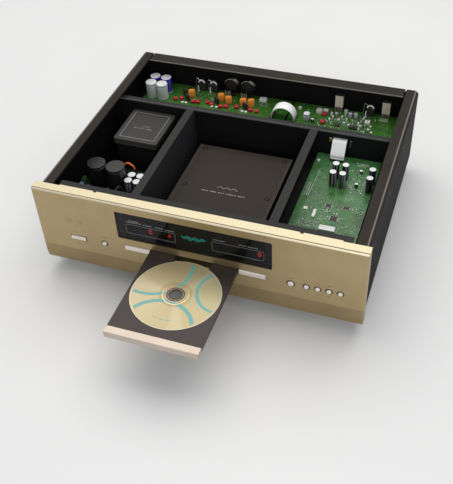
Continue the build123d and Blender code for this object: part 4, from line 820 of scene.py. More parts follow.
def dashRow(start, stop, z, half, lengths):
    # A row of marks of random lengths that stands for printed legends, without any letters.
    centres, halves = [], []
    while start < stop:
        length = rng.uniform(*lengths)
        centres.append((start + length / 2, displayLook["y"], z))
        halves.append((length / 2, 0.1, half))
        start += length + rng.uniform(*displayLook["markGaps"])
    return crates(centres, halves, 0.05)


def buildDisplay(look):
    display = Shape()
    thick = look["thick"]
    for x in look["frames"]:
        display.add(rim(*look["frameSize"], 2 * thick, (x, look["y"] + thick, look["frameLevel"]), "front"),
                    "frameLine")
        start, stop, z = look["captions"]
        display.add(dashRow(x + start, x + stop, z, *look["captionMarks"]), "faintLine")
    for word in look["words"]:
        display.add(dashRow(*word, *look["wordMarks"]), "greyLine")
    display.add(rim(*look["bezel"], look["bezelPlace"], "front"), "displayFace")
    for figure in look["figures"]:
        display.add(sevenSegments(*figure), "redLamp")
    for start, stop, level, phase, radius in look["waves"]:  # a generic teal mark between the frames
        x = np.linspace(start, stop, 40)
        path = np.stack([x, np.full(40, look["y"]), level + 1.7 * np.sin(x * 0.6 + phase)], -1)
        display.add(tube(path, radius, 6), "tealLamp")
    display.build("display_marks", "display_module")


# The dark rings and the dark bed stand for painted shade in the button recesses.
buttonLook = {"level": 73.8, "y": 1.2, "gaps": (0.33, 1.56), "height": 0.5,
              "buttons": ((-132.7, 3.5), (134.8, 4.4), *((x, 3.5) for x in (155.7, 170.7, 185.7, 200.7))),
              "bed": (24.1, 8.9, 1.0, 0.55, 6.25), "bedPlace": (-172.5, 6.6, 73.8)}


def buildButtons(look):
    # Painted shade: a dark ring round each round button, and a dark bed in the power button's recess, where
    # the recesses lie in shade.
    rings, bed = Shape(), Shape()
    high = look["height"]
    for x, radius in look["buttons"]:
        inner, outer = (radius + gap for gap in look["gaps"])
        profile = [(inner, 0), (outer, 0), (outer, high - 0.15), (outer - 0.25, high), (inner, high)]
        rings.add(lathe(profile, (x, look["y"], look["level"]), "front", 40, wrap=True), "blackPlastic")
    rings.build("button_recess_shade_rings", "black_plastic")
    bed.add(rim(*look["bed"], look["bedPlace"], "front"), "blackPlastic")
    bed.build("power_button_recess_shade", "black_plastic")


buildDisplay(displayLook)
buildButtons(buttonLook)
print("front details")


def canBody(radius, height, at, crimp=True, around=32):
    # Can with a crimp under its top, and its scored top.
    profile = [(radius * 0.93, 0), (radius, 0.6)]
    if crimp:
        groove = height - min(3.4, height * 0.16)
        profile += [(radius, groove - 1.1), (radius * 0.93, groove - 0.35), (radius * 0.93, groove + 0.35),
                    (radius, groove + 1.1)]
    profile += [(radius, height - 0.5), (radius - 0.45, height - 0.05), (radius * 0.90, height - 0.05)]
    top = [(radius * 0.91, height - 0.6), (radius * 0.91, height - 0.02), (radius * 0.86, height)]
    return lathe(profile, at, "z", around), lathe(top, at, "z", around)


def scoredTop(radius, height, at):
    # Two low crossed ribs where the top is scored.
    x, y, z = at
    long = radius * 0.62
    return crates([(x, y, z + height)] * 2, [(long, 0.16, 0.05), (0.16, long, 0.05)], 0.03, radians(45))


def square(x, y, step):
    # Four places round a middle.
    return [(x + sx * step / 2, y + sy * step / 2) for sx in (-1, 1) for sy in (-1, 1)]


supplyCans = {"large": ((-198.0, -167.0), 120.0, 14.2, 41.99), "small": (-138.5, 120.0, 13.6),
              "smallRadius": 6.2, "smallHeight": 25.9}


def buildSupplyCans(look):
    power = Shape()
    places, y, radius, height = look["large"]
    for x in places:
        at = (x, y, powerTop)
        power.addAll(canBody(radius, height, at, around=48), ("darkSleeve", "greyTop"))
        power.add(collar(9.2, 9.6, 41.9, 42, at, around=48), "dullSteel")
    for place in square(*look["small"]):
        at = (*place, powerTop)
        power.addAll(canBody(look["smallRadius"], look["smallHeight"], at), ("lilacSleeve", "brightTop"))
        power.add(scoredTop(look["smallRadius"], look["smallHeight"] + 0.05, at), "zincSteel")
    power.build("power_cans", "capacitor_sleeve", replaces=("power_capacitors",))


boardCans = {"black": ((144, 158, 196.9), (185.5, 205.5)), "blackRadius": 5.1, "blackHeight": 24.9,
             "tall": (-189.5, 343.5, 19.2), "tallRadius": 9.0, "tallHeight": 25.9}


def buildBoardCans(look):
    # Black cans on the main board; a silver and a blue pair, each with a seat ring, on the rear board.
    cans = Shape()
    for y in look["black"][1]:
        for x in look["black"][0]:
            at = (x, y, boardTop)
            cans.addAll(canBody(look["blackRadius"], look["blackHeight"], at), ("blackSleeve", "brightTop"))
            cans.add(scoredTop(look["blackRadius"], look["blackHeight"] + 0.05, at), "zincSteel")
    for place in square(*look["tall"]):
        at = (*place, boardTop)
        sleeve = "blueSleeve" if place[1] > look["tall"][1] else "silverSleeve"
        cans.addAll(canBody(look["tallRadius"], look["tallHeight"], at, around=40), (sleeve, "brightTop"))
        for inner, outer, low, high, material in ((4.4, 4.9, 25.86, 26, "zincSteel"),
                                                  (8.2, 8.5, 22.3, 22.9, "chipBlack"),
                                                  (9.0, 9.35, 0, 1.1, "whitePart")):
            cans.add(collar(inner, outer, low, high, at), material)
    cans.build("board_cans", "capacitor_sleeve", replaces=("board_capacitors",))


origins = {"signal": (-212.0, 268.0), "digital": (36.0, 268.0), "main": (106.0, 42.2)}  # left front corners


def onBoard(board, places):
    left, front = origins[board]
    return [(left + x, front + y, *more) for x, y, *more in places]


def boardBox(board, x0, x1, y0, y1, *more):
    left, front = origins[board]
    return (left + x0, left + x1, front + y0, front + y1, *more)


signalParts = {
    "films": onBoard("signal", [(79, 79), (130, 81), (144.5, 76), (169.5, 76), (182.5, 78)]),
    "filmSize": (11, 6.5, 2.2, 13), "filmTurn": 24,
    "filmStages": ((0, 0.82), (0.08, 0.94), (0.3, 1.0), (0.7, 1.0), (0.92, 0.95), (1.0, 0.84)),
    "beads": onBoard("signal", [(56, 63), (65, 67), (87, 63), (95, 64), (111, 67), (119, 63), (135, 61),
                                (144, 63), (161, 67), (185, 64), (196, 63)])
    + onBoard("digital", [(55, 85), (57, 63)]),
    "beadProfile": [(3.2, 0), (3.7, 0.8), (3.7, 3.2), (3.4, 4.1), (2.7, 4.7), (1.5, 5.0)],
}


def buildSignalParts(look):
    # Dipped orange boxes, wider at the waist, and dipped crimson beads with round shoulders.
    films = Shape()
    for place in look["films"]:
        block = softBlock(*look["filmSize"], look["filmStages"], (*place, boardTop),
                          radians(look["filmTurn"]))
        films.add(block, "dippedOrange")
    for place in look["beads"]:
        films.add(lathe(look["beadProfile"], (*place, boardTop), "z", 24), "crimsonSleeve")
    films.build("signal_cans", "film_orange", replaces=("signal_capacitors",))


buildSupplyCans(supplyCans)
buildBoardCans(boardCans)
buildSignalParts(signalParts)
print("capacitors")


def chip(x0, x1, y0, y1, height):
    # Moulded package with a row of bent legs on all four sides.
    inset, pitch, z = 1.2, 0.9, boardTop
    body = crate(x0 + inset, x1 - inset, y0 + inset, y1 - inset, z + 0.25, z + height)
    centres, halves = [], []
    for reach, halfLong, level, halfHigh, share in ((0.45, 0.45, 0.14, 0.14, 0.26),
                                                    (1.0, 0.22, height * 0.42, height * 0.3, 0.22)):
        for side, x in ((-1, x0), (1, x1)):
            for y in np.arange(y0 + inset + 0.9, y1 - inset - 0.5, pitch):
                centres.append((x - side * reach, y, z + level))
                halves.append((halfLong, pitch * share, halfHigh))
        for side, y in ((-1, y0), (1, y1)):
            for x in np.arange(x0 + inset + 0.9, x1 - inset - 0.5, pitch):
                centres.append((x, y - side * reach, z + level))
                halves.append((pitch * share, halfLong, halfHigh))
    return body, crates(centres, halves, 0.06)


def header(x0, x1, y0, y1, z, height):
    # Connector body with a row of pins standing in it along its longer side.
    pitch = 2.5
    body = crate(x0, x1, y0, y1, z, z + height * 0.72)
    level = z + height * 0.62
    if x1 - x0 > y1 - y0:
        places = [(x, (y0 + y1) / 2, level) for x in np.arange(x0 + pitch / 2, x1, pitch)]
    else:
        places = [((x0 + x1) / 2, y, level) for y in np.arange(y0 + pitch / 2, y1, pitch)]
    return body, crates(places, (0.36, 0.36, height * 0.38), 0.1)


mainParts = {
    # Each block is left, right, front and back on its board, and its height.
    "chips": ((39, 49, 93, 102, 1.6), (63.5, 74.5, 95, 102.5, 1.6), (51, 63, 67, 78, 1.8)),
    "crystal": (26.5, 31, 67, 84, 3.0), "crystalStages": ((0, 1), (0.75, 1.0), (1, 0.86)),
    "caps": ((11.5, 17, 81, 86.5, 1.6), (3.5, 7.5, 191.5, 195.5, 2.5)),
    "cableSocket": (42, 64, 45.5, 55, 2.4),
    "pinRows": (3.5, 9.5, 110, 140, 1.6),
}
rearParts = {
    "headers": (("signal", (191, 203, 94, 103, 6.0), "whitePart"),
                ("digital", (41, 50, 86, 95, 8.0), "creamPlastic"),
                ("digital", (50.6, 58.5, 94.5, 99.5, 5.0), "whitePart"),
                ("digital", (76, 86, 59, 67, 2.0), "chipBlack"),
                ("digital", (100, 112, 58, 65, 4.0), "chipBlack"),
                ("digital", (121, 129, 77, 85, 5.0), "whitePart")),
    "jumperFeet": (11.0, 49.0), "jumperSpan": (319, 341),
    "transistors": onBoard("signal", [(67, 80), (76, 66), (126, 70), (176, 67)]), "transistorTurn": -35,
}
# Small round cans: place, height, radius and sleeve.
roundCans = onBoard("main", [(72, 148.5, 6.0, 2.4, "blackSleeve"), (72, 181, 5.0, 2.6, "blackSleeve")])
roundCans += onBoard("digital", [
    (31, 65, 13.0, 5.2, "paleSleeve"), (95.5, 91, 7.0, 3.2, "paleSleeve"), (104, 92, 7.0, 3.2, "paleSleeve"),
    (13, 92, 3.5, 3.0, "silverSleeve"), (41, 62, 6.0, 2.4, "blackSleeve"),
    (87, 98, 7.0, 2.8, "silverSleeve")])


def addMainParts(parts, look):
    for block in look["chips"]:
        parts.addAll(chip(*boardBox("main", *block)), ("chipBlack", "tinPlate"))
    x0, x1, y0, y1, height = boardBox("main", *look["crystal"])
    parts.add(softBlock(x1 - x0, y1 - y0, 2.2, height, look["crystalStages"],
                        ((x0 + x1) / 2, (y0 + y1) / 2, boardTop)), "whitePart")
    for block in look["caps"]:
        x0, x1, y0, y1, height = boardBox("main", *block)
        parts.add(crate(x0, x1, y0, y1, boardTop, boardTop + height, 0.35), "whitePart")
    x0, x1, y0, y1, height = boardBox("main", *look["cableSocket"])
    parts.add(crate(x0, x1, y0, y1, boardTop, boardTop + height * 0.8), "whitePart")
    parts.add(crate(x0 + 0.8, x1 - 0.8, y0 + 5.6, y1 - 0.6, boardTop + height * 0.7, boardTop + height, 0.2),
              "whitePart")
    pins = [(x, y0 + 2.2, boardTop + height * 0.82) for x in np.arange(x0 + 1.4, x1 - 1, 1.25)]
    parts.add(crates(pins, (0.3, 1.3, 0.2), 0.05), "zincSteel")
    x0, x1, y0, y1, height = boardBox("main", *look["pinRows"])
    for x in (x0 + 1.4, x1 - 1.4):
        parts.add(crate(x - 0.9, x + 0.9, y0, y1, boardTop, boardTop + height * 0.6, 0.2), "paleLine")
        pins = [(x, y, boardTop + height * 0.75) for y in np.arange(y0 + 1.2, y1, 2.0)]
        parts.add(crates(pins, (0.5, 0.45, 0.38), 0.08), "tinPlate")


def addRearParts(parts, look):
    for board, block, material in look["headers"]:
        x0, x1, y0, y1, height = boardBox(board, *block)
        parts.addAll(header(x0, x1, y0, y1, boardTop, height), (material, "tinPlate"))
    # The flat cable's connector and the two jumper feet.
    parts.add(crate(127, 148, 240, 246, boardTop, boardTop + 3.2), "chipBlack")
    parts.add(crate(127.6, 147.4, 240.8, 245.2, boardTop + 3.1, boardTop + 4.5, 0.2), "whitePart")
    front, back = look["jumperSpan"]
    for x in look["jumperFeet"]:
        parts.add(crate(x - 3, x + 3, front, back, boardTop, boardTop + 2.5), "chipBlack")
        pins = [(x + side * 2.4, y, boardTop + 1.7) for y in np.arange(front + 1.5, back - 1, 1.27)
                for side in (-1, 1)]
        parts.add(crates(pins, (0.28, 0.3, 0.9), 0.05), "tinPlate")
    # Transistors: black body against a plated tab.
    turn = radians(look["transistorTurn"])
    along, behind = np.array([np.cos(turn), np.sin(turn)]), np.array([-np.sin(turn), np.cos(turn)])
    for place in np.array(look["transistors"]):
        parts.add(crates([(*place, boardTop + 6.2)], [(4.5, 1.9, 4.8)], 0.3, turn), "chipBlack")
        tab = (*(place + behind * 1.9), boardTop + 6.6)
        parts.add(crates([tab], [(4.3, 0.45, 4.4)], 0.1, turn), "tinPlate")
        legs = [(*(place + along * step), boardTop + 1.0) for step in (-2.5, 0, 2.5)]
        parts.add(crates(legs, (0.35, 0.3, 1.1), 0.05, turn), "tinPlate")


def buildBoardParts():
    parts = Shape()
    addMainParts(parts, mainParts)
    addRearParts(parts, rearParts)
    for x, y, height, radius, sleeve in roundCans:
        parts.addAll(canBody(radius, height - 0.05, (x, y, boardTop), crimp=height > 4, around=24),
                     (sleeve, "brightTop"))
    parts.build("board_chips", "mixed_parts", replaces=("board_parts",))


supplyParts = {
    # Each block is left, right, front, back, bottom and top over the supply board.
    "blocks": ((-218, -212, 101.8, 111.8, 0, 20, 0.6, "mainBoardGreen"),
               (-218, -212, 89.8, 99.8, 0, 17.8, 0.6, "paleBlue"),
               (-127.5, -116.5, 145, 154.5, 2, 25, 0.4, "chipBlack"),
               (-127.3, -116.7, 154.4, 157, 0, 26, 0.2, "zincSteel"),
               (-204, -162, 60.2, 64.2, 0, 22, 0.3, "blackPaint")),
    "header": (-149.3, -131.3, 134, 138, powerTop, 14.0),
    "fins": (-203.15, -162.85, 8), "finMiddle": (70.1, 11), "finHalf": (0.85, 6.1, 11),
}


def buildSupplyParts(look):
    # Film blocks, pin header, regulator on its tab, and a heat sink with upright fins.
    supply = Shape()
    for x0, x1, y0, y1, low, high, bevel, material in look["blocks"]:
        supply.add(crate(x0, x1, y0, y1, powerTop + low, powerTop + high, bevel), material)
    supply.addAll(header(*look["header"]), ("chipBlack", "tinPlate"))
    y, rise = look["finMiddle"]
    supply.add(crates([(x, y, powerTop + rise) for x in np.linspace(*look["fins"])], look["finHalf"], 0.25),
               "blackPaint")
    supply.build("supply_parts", "mixed_parts", replaces=("power_parts",))


def scatter(count, x0, x1, y0, y1, blocked):
    # Random places on a grid that keep clear of the larger parts and of each other.
    places = []
    tries = rng.uniform((x0, y0), (x1, y1), (count * 8, 2))
    for x, y in np.round(tries / 1.6) * 1.6:
        clear = all(not (left - 2 < x < right + 2 and front - 2 < y < back + 2)
                    for left, right, front, back in blocked)
        if clear and all(abs(x - px) > 3.1 or abs(y - py) > 2.3 for px, py in places):
            places.append((x, y))
        if len(places) == count:
            break
    return np.array(places)


def near(places, reach):
    # Blocked squares round places.
    return [(x - reach, x + reach, y - reach, y + reach) for x, y, *_ in places]


def smallParts(name, shape, z, look):
    # Chip resistors and capacitors: a body between two plated ends, in groups on the board.
    places = np.concatenate([scatter(count, *box, look["blocked"]) for count, box in look["groups"]])
    count = len(places)
    turns = np.where(rng.random(count) < 0.5, 0.0, pi / 2)
    lengths = rng.choice(look["sizes"], count)
    tones = rng.integers(0, 4, count)

    def bars(middles, lengths, deep, rise, high, turns):
        # One bar for each middle: half its length and depth, how far up its middle is, and half its height.
        count = len(middles)
        centres = np.column_stack([middles, np.full(count, z + rise)])
        halves = np.column_stack([lengths, np.full(count, deep), np.full(count, high)])
        return crates(centres, halves, 0.08, turns)

    for tone, material in enumerate(("chipBlack", "whitePart", "paleLine", "chipBlack")):
        pick = tones == tone
        shape.add(bars(places[pick], lengths[pick] * 0.72, 0.62, 0.5, 0.5, turns[pick]), material)
    for end in (-1, 1):
        step = end * lengths * 0.86
        ends = places + np.column_stack([step * np.cos(turns), step * np.sin(turns)])
        shape.add(bars(ends, lengths * 0.2, 0.66, 0.52, 0.53, turns), "tinPlate")
    shape.build(name, "mixed_parts")


mainBlocks = [*mainParts["chips"], *mainParts["caps"], mainParts["crystal"], mainParts["cableSocket"],
              mainParts["pinRows"]]
mainSmall = {
    "groups": [(count, boardBox("main", *box)) for count, box in (
        (24, (11, 36, 46, 60)), (13, (36, 50, 64, 80)), (12, (64, 80, 58, 76)), (14, (36, 50, 84, 92)),
        (7, (46, 60, 80, 86)), (16, (76, 92, 90, 104)), (8, (50, 62, 92, 104)), (48, (61, 86, 132, 178)),
        (12, (53, 60, 140, 166)), (6, (62, 82, 184, 196)), (26, (12, 94, 8, 205)))],
    "blocked": [boardBox("main", *block[:4]) for block in mainBlocks]
    + near([(x, y) for x in boardCans["black"][0] for y in boardCans["black"][1]], 6)
    + near(roundCans[:2], 3) + [(124, 151, 236, 256)],
    "sizes": [0.55, 0.75, 1.0],
    # Printed lines: a long pair along the left edge and a few bars at the back, each with its half width.
    "lines": ((10.4, 112, 11.4, 140, 0.2), (11.6, 144, 12.6, 172, 0.16), (61, 202.6, 79, 202.6, 0.3),
              (64, 199.6, 80, 199.6, 0.3), (62, 197.0, 74, 197.0, 0.25), (66, 20, 66, 44, 0.25),
              (72, 18, 72, 46, 0.25), (84, 22, 84, 40, 0.25)),
}
signalSmall = {
    "groups": [(count, boardBox("signal", *box)) for count, box in (
        (16, (76, 122, 84, 97)), (18, (184, 212, 80, 93)), (10, (124, 184, 84, 92)), (12, (60, 100, 68, 80)),
        (10, (104, 126, 70, 84)), (12, (136, 200, 58, 72)), (16, (40, 238, 40, 104)))],
    "blocked": near(signalParts["films"], 6) + near(signalParts["beads"], 4)
    + near(square(*boardCans["tall"]), 10) + near(rearParts["transistors"], 5)
    + [(-22, -8, 361, 372), (6, 18, 317, 343), (-130, -92, 366, 380), (-84, -28, 362, 380)],
    "sizes": [0.8, 1.05],
    "beads": ((-142.4, 326.1), (-136.2, 326.6), (-91.1, 327.6), (-83.3, 327.6), (-38.9, 327.4),
              (-32.7, 327.1)),
    "beadProfile": [(1.9, 0), (2.3, 0.5), (2.3, 1.3), (1.5, 1.9)],
}
digitalSmall = {
    "groups": [(count, boardBox("digital", *box)) for count, box in (
        (26, (38, 62, 54, 104)), (62, (62, 92, 54, 104)), (52, (92, 118, 54, 100)), (40, (112, 136, 54, 92)),
        (5, (6, 36, 60, 100)), (5, (140, 160, 60, 90)))],
    "blocked": [boardBox(board, *block[:4]) for board, block, _ in rearParts["headers"][1:]]
    + [(42, 54, 317, 343), (102, 118, 368, 380), (174, 194, 355, 380), (150, 168, 366, 380)]
    + near([(67, 333)], 6) + near([(131.5, 359), (140, 360), (49, 360)], 4) + near([(77, 330), (123, 366)], 3)
    + near(signalParts["beads"], 4.4),
    "sizes": [0.9, 1.2, 1.5],
    # Pale boxes on edge among the low parts: middle, half width, half depth and height.
    "upright": ((66, 88, 1.6, 1.0, 4.5), (70, 80, 1.0, 1.8, 5.0), (73, 92, 1.8, 1.1, 4.0),
                (66, 74, 1.2, 2.2, 3.0), (80, 76, 2.0, 1.1, 3.6), (84, 84, 1.1, 2.0, 4.4),
                (90, 70, 2.2, 1.2, 3.2), (92, 80, 1.1, 1.8, 4.2),
                (98, 66, 1.8, 1.2, 2.8), (112, 74, 1.2, 2.0, 4.0), (116, 68, 2.2, 1.2, 3.4),
                (118, 90, 1.2, 1.2, 5.0), (132, 70, 1.2, 1.8, 3.6), (130, 62, 2.0, 1.2, 3.0),
                (136, 56, 1.6, 1.6, 2.4)),
    "cover": (176.5, 191.5, 358, 367, 2.0),
}
powerSmall = {
    "groups": [(46, (-216, -116, 48, 162))],
    "blocked": [(-216, -150, 100, 140), (-154, -122, 104, 156), (-206, -160, 58, 78), (-222, -210, 90, 114)],
    "sizes": [0.8, 1.1, 1.4],
    # Thin leads in front of the large cans: from, to and rise.
    "leads": ((-212, 96, -196, 100, 15), (-209, 92, -199, 95, 12), (-186, 98, -168, 101, 13),
              (-182, 93, -172, 96, 10), (-163, 97, -155, 112, 16)),
}


def buildMainSmall(look):
    shape = Shape()
    for x0, y0, x1, y1, wide in look["lines"]:
        middle = onBoard("main", [((x0 + x1) / 2, (y0 + y1) / 2)])[0]
        shape.add(crates([(*middle, boardTop + 0.1)], [(hypot(x1 - x0, y1 - y0) / 2, wide, 0.1)], 0.03,
                         atan2(y1 - y0, x1 - x0)), "whitePart")
    smallParts("main_small_parts", shape, boardTop, look)


def buildSignalSmall(look):
    shape = Shape()
    for place in look["beads"]:  # flat white beads in pairs between the red ones
        shape.add(lathe(look["beadProfile"], (*place, boardTop), "z", 20), "whitePart")
    smallParts("signal_small_parts", shape, boardTop, look)


def buildDigitalSmall(look):
    shape = Shape()
    for x, y, wide, deep, tall in onBoard("digital", look["upright"]):
        shape.add(crate(x - wide, x + wide, y - deep, y + deep, boardTop, boardTop + tall), "whitePart")
    x0, x1, y0, y1, height = look["cover"]
    shape.add(crate(x0, x1, y0, y1, boardTop, boardTop + height, 0.5), "paleGreen")
    smallParts("digital_small_parts", shape, boardTop, look)


def buildPowerSmall(look):
    shape = Shape()
    share = np.linspace(0, 1, 20)
    for x0, y0, x1, y1, rise in look["leads"]:
        bow = powerTop + 0.3 + rise * np.sqrt(np.sin(share * pi))
        path = np.stack([x0 + (x1 - x0) * share, y0 + (y1 - y0) * share, bow], -1)
        shape.add(tube(path, 0.55, 8), "paleLine")
    smallParts("power_small_parts", shape, powerTop, look)


buildBoardParts()
buildSupplyParts(supplyParts)
buildMainSmall(mainSmall)
buildSignalSmall(signalSmall)
buildDigitalSmall(digitalSmall)
buildPowerSmall(powerSmall)
print("boards")


socketPlaces = {
    "phono": (-122.0, -101.0, 161.0), "round": (-70.0, -42.0), "optical": (110.0, 185.0),
    "lead": ((-10.6, 368.5, 95), (-10.7, 368.5, 104), (-10.6, 368.5, 114), (-10.2, 368.6, 116.6),
             (-8.6, 368.9, 117.6), (-5.0, 369.4, 115.4)),
    "pins": ((-10.2, 10.5), (-7.6, 8.5), (-4.8, 9.5), (-1.9, 10.0)),  # step aside and height
}


def arcBar(x, y, z, radius, thick, start, stop):
    # A bar bent round a socket's axis between two angles in degrees, counted from the right upwards.
    turn = np.radians(np.linspace(start, stop, 26))
    path = np.stack([x + radius * np.cos(turn), np.full(26, y), z + radius * np.sin(turn)], -1)
    return tube(path, thick, 10)


def buildSockets(look):
    sockets = Shape()
    for x in look["phono"]:
        # Moulded body round each barrel with a bright half collar that is a painted highlight over its top
        # and a dark arc of painted shade under it, a tall lead at its left and a post.
        sockets.add(crate(x - 6.2, x + 6.2, 368.5, 371.2, boardTop, 114.0, 0.8), "chipBlack")
        sockets.add(lathe([(6.7, 0), (6.7, 4.0), (6.1, 4.6)], (x, 371.2, 111.0), "front", 40), "chipBlack")
        # Painted highlight on the upper half of the collar, painted shade on the lower half.
        sockets.add(arcBar(x, 366.3, 111.4, 5.1, 1.3, 12, 168), "whitePart")
        sockets.add(arcBar(x, 366.6, 111.0, 5.0, 0.5, 190, 345), "dullSteel")
        sockets.add(tube([(x + step, y, z) for step, y, z in look["lead"]], 0.42, 8), "tinPlate")
        post = [(1.5, 0), (1.1, 1.6), (0.8, 2.4), (0.8, 10.6), (0.5, 11)]
        sockets.add(lathe(post, (x - 6.4, 366.4, boardTop), "z", 16), "whitePart")
        sockets.add(collar(4.16, 6.0, 0, 0.5, (x, 383.0, 108), "back", 36), "blackPlastic")
    for x in look["round"]:
        # Dark shell with a thin bright collar over its top as a painted highlight, four pins in front, two
        # screws outside.
        shell = [(12.2, 0), (12.2, 3.0), (11.6, 3.6), (9.2, 3.6), (8.8, 2.6)]
        sockets.add(lathe(shell, (x, 369.6, 114.2), "front", 44), "chipBlack")
        # Painted highlight: two bright arcs where the collar's top catches the light.
        sockets.add(arcBar(x, 366.4, 115.0, 12.0, 0.55, 28, 152), "tinPlate")
        sockets.add(arcBar(x + 1.2, 367.6, 116.2, 12.2, 0.4, 20, 78), "tinPlate")
        sockets.add(lathe([(7.2, 0), (7.2, 1.2), (5.0, 2.0)], (x, 367.2, 112.5), "front", 8), "blackPlastic")
        for step, tall in look["pins"]:
            pin = [(0.95, 0), (0.8, 1.2), (0.55, 1.8), (0.55, tall - 1), (0.35, tall)]
            sockets.add(lathe(pin, (x + step, 364.6, boardTop), "z", 12), "paleGold")
        for aside, up in ((-10, 12), (10, -12)):
            sockets.add(lathe([(1.9, 0), (1.9, 0.5), (1.3, 0.95)], (x + aside, 384.0, 112 + up), "back", 24),
                        "brightSteel")
    for x in look["optical"]:
        sockets.add(crate(x + 0.8, x + 2.0, 369.7, 370.2, 110.5, 112.5, 0.15), "chipBlack")
        sockets.add(crates([(x - 5, 369.6, 98.4), (x + 5, 369.6, 98.4)], (0.6, 0.5, 3.4), 0.12), "paleLine")
    sockets.build("socket_details", "mixed_parts")


caseScrews = {
    "back": [(x, 382, z) for x in (-218, -150, -20, 60, 135, 218) for z in (34, 134)]
    + [(x, 382, 84) for x in (-218, 218)],
    "backHead": [(3.1, 0), (3.1, 0.7), (2.6, 1.25), (1.5, 1.35)], "backHex": [(1.15, 1.3), (1.15, 1.42)],
    "side": [(y, z) for y in (42, 150, 258, 366) for z in (32, 128)], "sideWall": 230,
    "sideHead": [(3.1, -0.4), (3.1, 0.1), (2.6, 0.42), (1.5, 0.5)], "sideHex": [(1.15, 0.4), (1.15, 0.56)],
}
footScrews = {"places": [(x, y, 0) for x in (-178, 178) for y in (47, 335)],
              "head": [(5.2, -2), (5.2, -0.15), (3.6, -0.02)], "washer": (17.0, 18.6, -0.5, -0.05)}
origin = (0, 0, 0)


def buildScrews(look):
    # Screws on the outside of the rear panel and on both sides.
    screws = Shape()
    walls = [("back", look["back"], look["backHead"], look["backHex"])]
    for side, way in ((-1, "left"), (1, "right")):
        places = [(side * look["sideWall"], y, z) for y, z in look["side"]]
        walls.append((way, places, look["sideHead"], look["sideHex"]))
    for way, places, head, hexagon in walls:
        screws.add(repeated(lathe(head, origin, way, 28), places), "blackPaint")
        screws.add(repeated(lathe(hexagon, origin, way, 6), places), "brightSteel")
    screws.build("case_screws", "steel_shaft")


def buildFootScrews(look):
    # A screw and a washer ring in the middle of each foot.
    under = Shape()
    for place in look["places"]:
        under.add(lathe(look["head"], place, "down"), "brightSteel")
        under.add(collar(*look["washer"], place, "down", 48), "rubber")
    under.build("foot_screws", "foot_metal")


buildSockets(socketPlaces)
buildScrews(caseScrews)
buildFootScrews(footScrews)
print("rear and underside")


lidLines = ((57, 66, 1.2, 0.5, 0.08, (-159.5, 216, 118.95), "silverLine"),
            (70.4, 80.8, 3.4, 0.6, 0.6, (-159.5, 216, 110.2), "paleLine"))
coverScrews = {"places": [(x, y, coverCorner[2]) for x in (-62.7, 62.7) for y in (41, 130.5, 220)],
               "hex": [(1.3, -0.1), (1.3, 0.09), (1.1, 0.12)], "ring": (1.9, 3.7, -0.1, 0.06)}
discRing = (16.9, 17.5, 1.0, 1.24)
cableHeader = (
    (122.6, 150.8, 261.4, 266.0, 114.0, 128.0, 0.4, "blackPlastic"),
    (121.4, 125.0, wallFront - 2.4, wallFront + 0.2, 118.5, 124.8, 0.5, "goldPlate"),
    (152.6, 153.2, wallFront - 0.7, wallFront + 0.2, 112.0, 123.0, 0.15, "paleLine"),
    (152.6, 155.4, wallFront - 0.7, wallFront + 0.2, 122.6, 123.2, 0.15, "paleLine"),
)

lines = Shape()
for *size, material in lidLines:
    lines.add(rim(*size), material)
lines.build("lid_line", "lid_grey")

screwDetails = Shape()
screwDetails.add(repeated(lathe(coverScrews["hex"], origin, "z", 6), coverScrews["places"]), "dullSteel")
# Painted shade: a dark ring round each cover screw, where its countersink lies in shade.
screwDetails.add(repeated(collar(*coverScrews["ring"], origin, "z", 32), coverScrews["places"]), "pitBlack")
screwDetails.build("cover_screw_details", "steel_shaft")

hub = Shape()
discLow, discHigh = nodeBox("disc")
hub.add(collar(*discRing, (*((discLow + discHigh) / 2)[:2], discLow[2]), "z", 72), "goldPlate")
hub.build("disc_rings", "disc_gold", "disc")

headers = Shape()  # in the partition's slot, with the small gold part beside it
for *box, material in cableHeader:
    headers.add(crate(*box), material)
headers.build("cable_header", "black_plastic")
print("lines and rings")


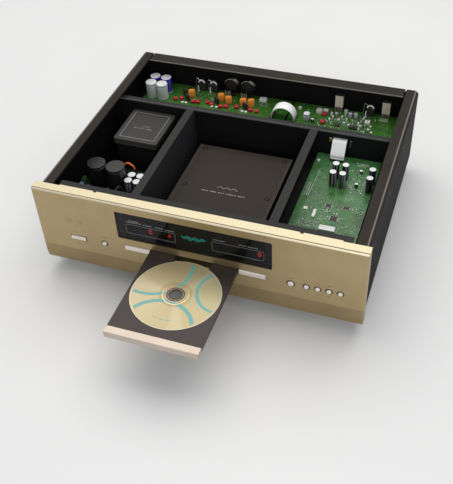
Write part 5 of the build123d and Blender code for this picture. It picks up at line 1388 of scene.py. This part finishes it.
studio = {
    "floor": 6.0, "sky": (0.92, 0.95, 1.0, 1.0), "skyStrength": 0.42,
    "seen": (1.0, 1.0, 1.0, 1.0), "seenStrength": 0.9,
    "lights": {
        "overhead": {"power": 31, "size": (2.6, 1.9), "place": (-0.15, 0.65, 1.7), "aim": (0, 0.02, 0.08),
                     "colour": (1.0, 0.97, 0.93)},
        "frontFill": {"power": 9, "size": (1.4, 0.8), "place": (0.5, -1.5, 0.9), "aim": (0, -0.1, 0.08),
                      "colour": (1.0, 1.0, 1.0)},
    },
    "lens": 59.43, "sensor": 36,
    "camera": (0.320, -0.6965 + panelFront, 0.8303), "turns": (46.618, 2.394, 19.033),
}


def addObject(name, data):
    piece = bpy.data.objects.new(name, data)
    bpy.context.scene.collection.objects.link(piece)
    return piece


def buildFloor(half):
    mesh = bpy.data.meshes.new("floor")
    corners = [(-half, -half, 0), (half, -half, 0), (half, half, 0), (-half, half, 0)]
    mesh.from_pydata(corners, [], [(0, 1, 2, 3)])
    mesh.materials.append(bpy.data.materials["floorPaint"])
    addObject("floor", mesh)


def buildWorld(look):
    # Soft light on the object, and a white background where the camera sees the world itself.
    world = bpy.data.worlds.new("studio")
    bpy.context.scene.world = world
    world.use_nodes = True
    tree = world.node_tree
    tree.nodes.clear()
    output, camera, soft, white, blend = (tree.nodes.new("ShaderNode" + kind) for kind in (
        "OutputWorld", "LightPath", "Background", "Background", "MixShader"))
    soft.inputs[0].default_value, soft.inputs[1].default_value = look["sky"], look["skyStrength"]
    white.inputs[0].default_value, white.inputs[1].default_value = look["seen"], look["seenStrength"]
    for number, socket in enumerate((camera.outputs["Is Camera Ray"], soft.outputs[0], white.outputs[0])):
        tree.links.new(socket, blend.inputs[number])
    tree.links.new(blend.outputs[0], output.inputs[0])


def areaLight(name, look):
    data = bpy.data.lights.new(name, "AREA")
    data.shape, data.energy, data.color = "RECTANGLE", look["power"], look["colour"]
    data.size, data.size_y = look["size"]
    lamp = addObject(name, data)
    x, y, z = np.array(look["aim"], float) - np.array(look["place"], float)
    lamp.rotation_euler = (atan2(hypot(x, y), -z), 0, atan2(y, x) - pi / 2)  # its -Z axis meets the aim
    lamp.location = look["place"]


def buildCamera(look):
    data = bpy.data.cameras.new("camera")
    data.lens, data.sensor_width = look["lens"], look["sensor"]
    camera = addObject("camera", data)
    camera.location = look["camera"]
    camera.rotation_euler = [radians(turn) for turn in look["turns"]]
    bpy.context.scene.camera = camera


buildFloor(studio["floor"])
buildWorld(studio)
for name, look in studio["lights"].items():
    areaLight(name, look)
buildCamera(studio)
bpy.context.scene.view_settings.view_transform = "Standard"
print("studio")
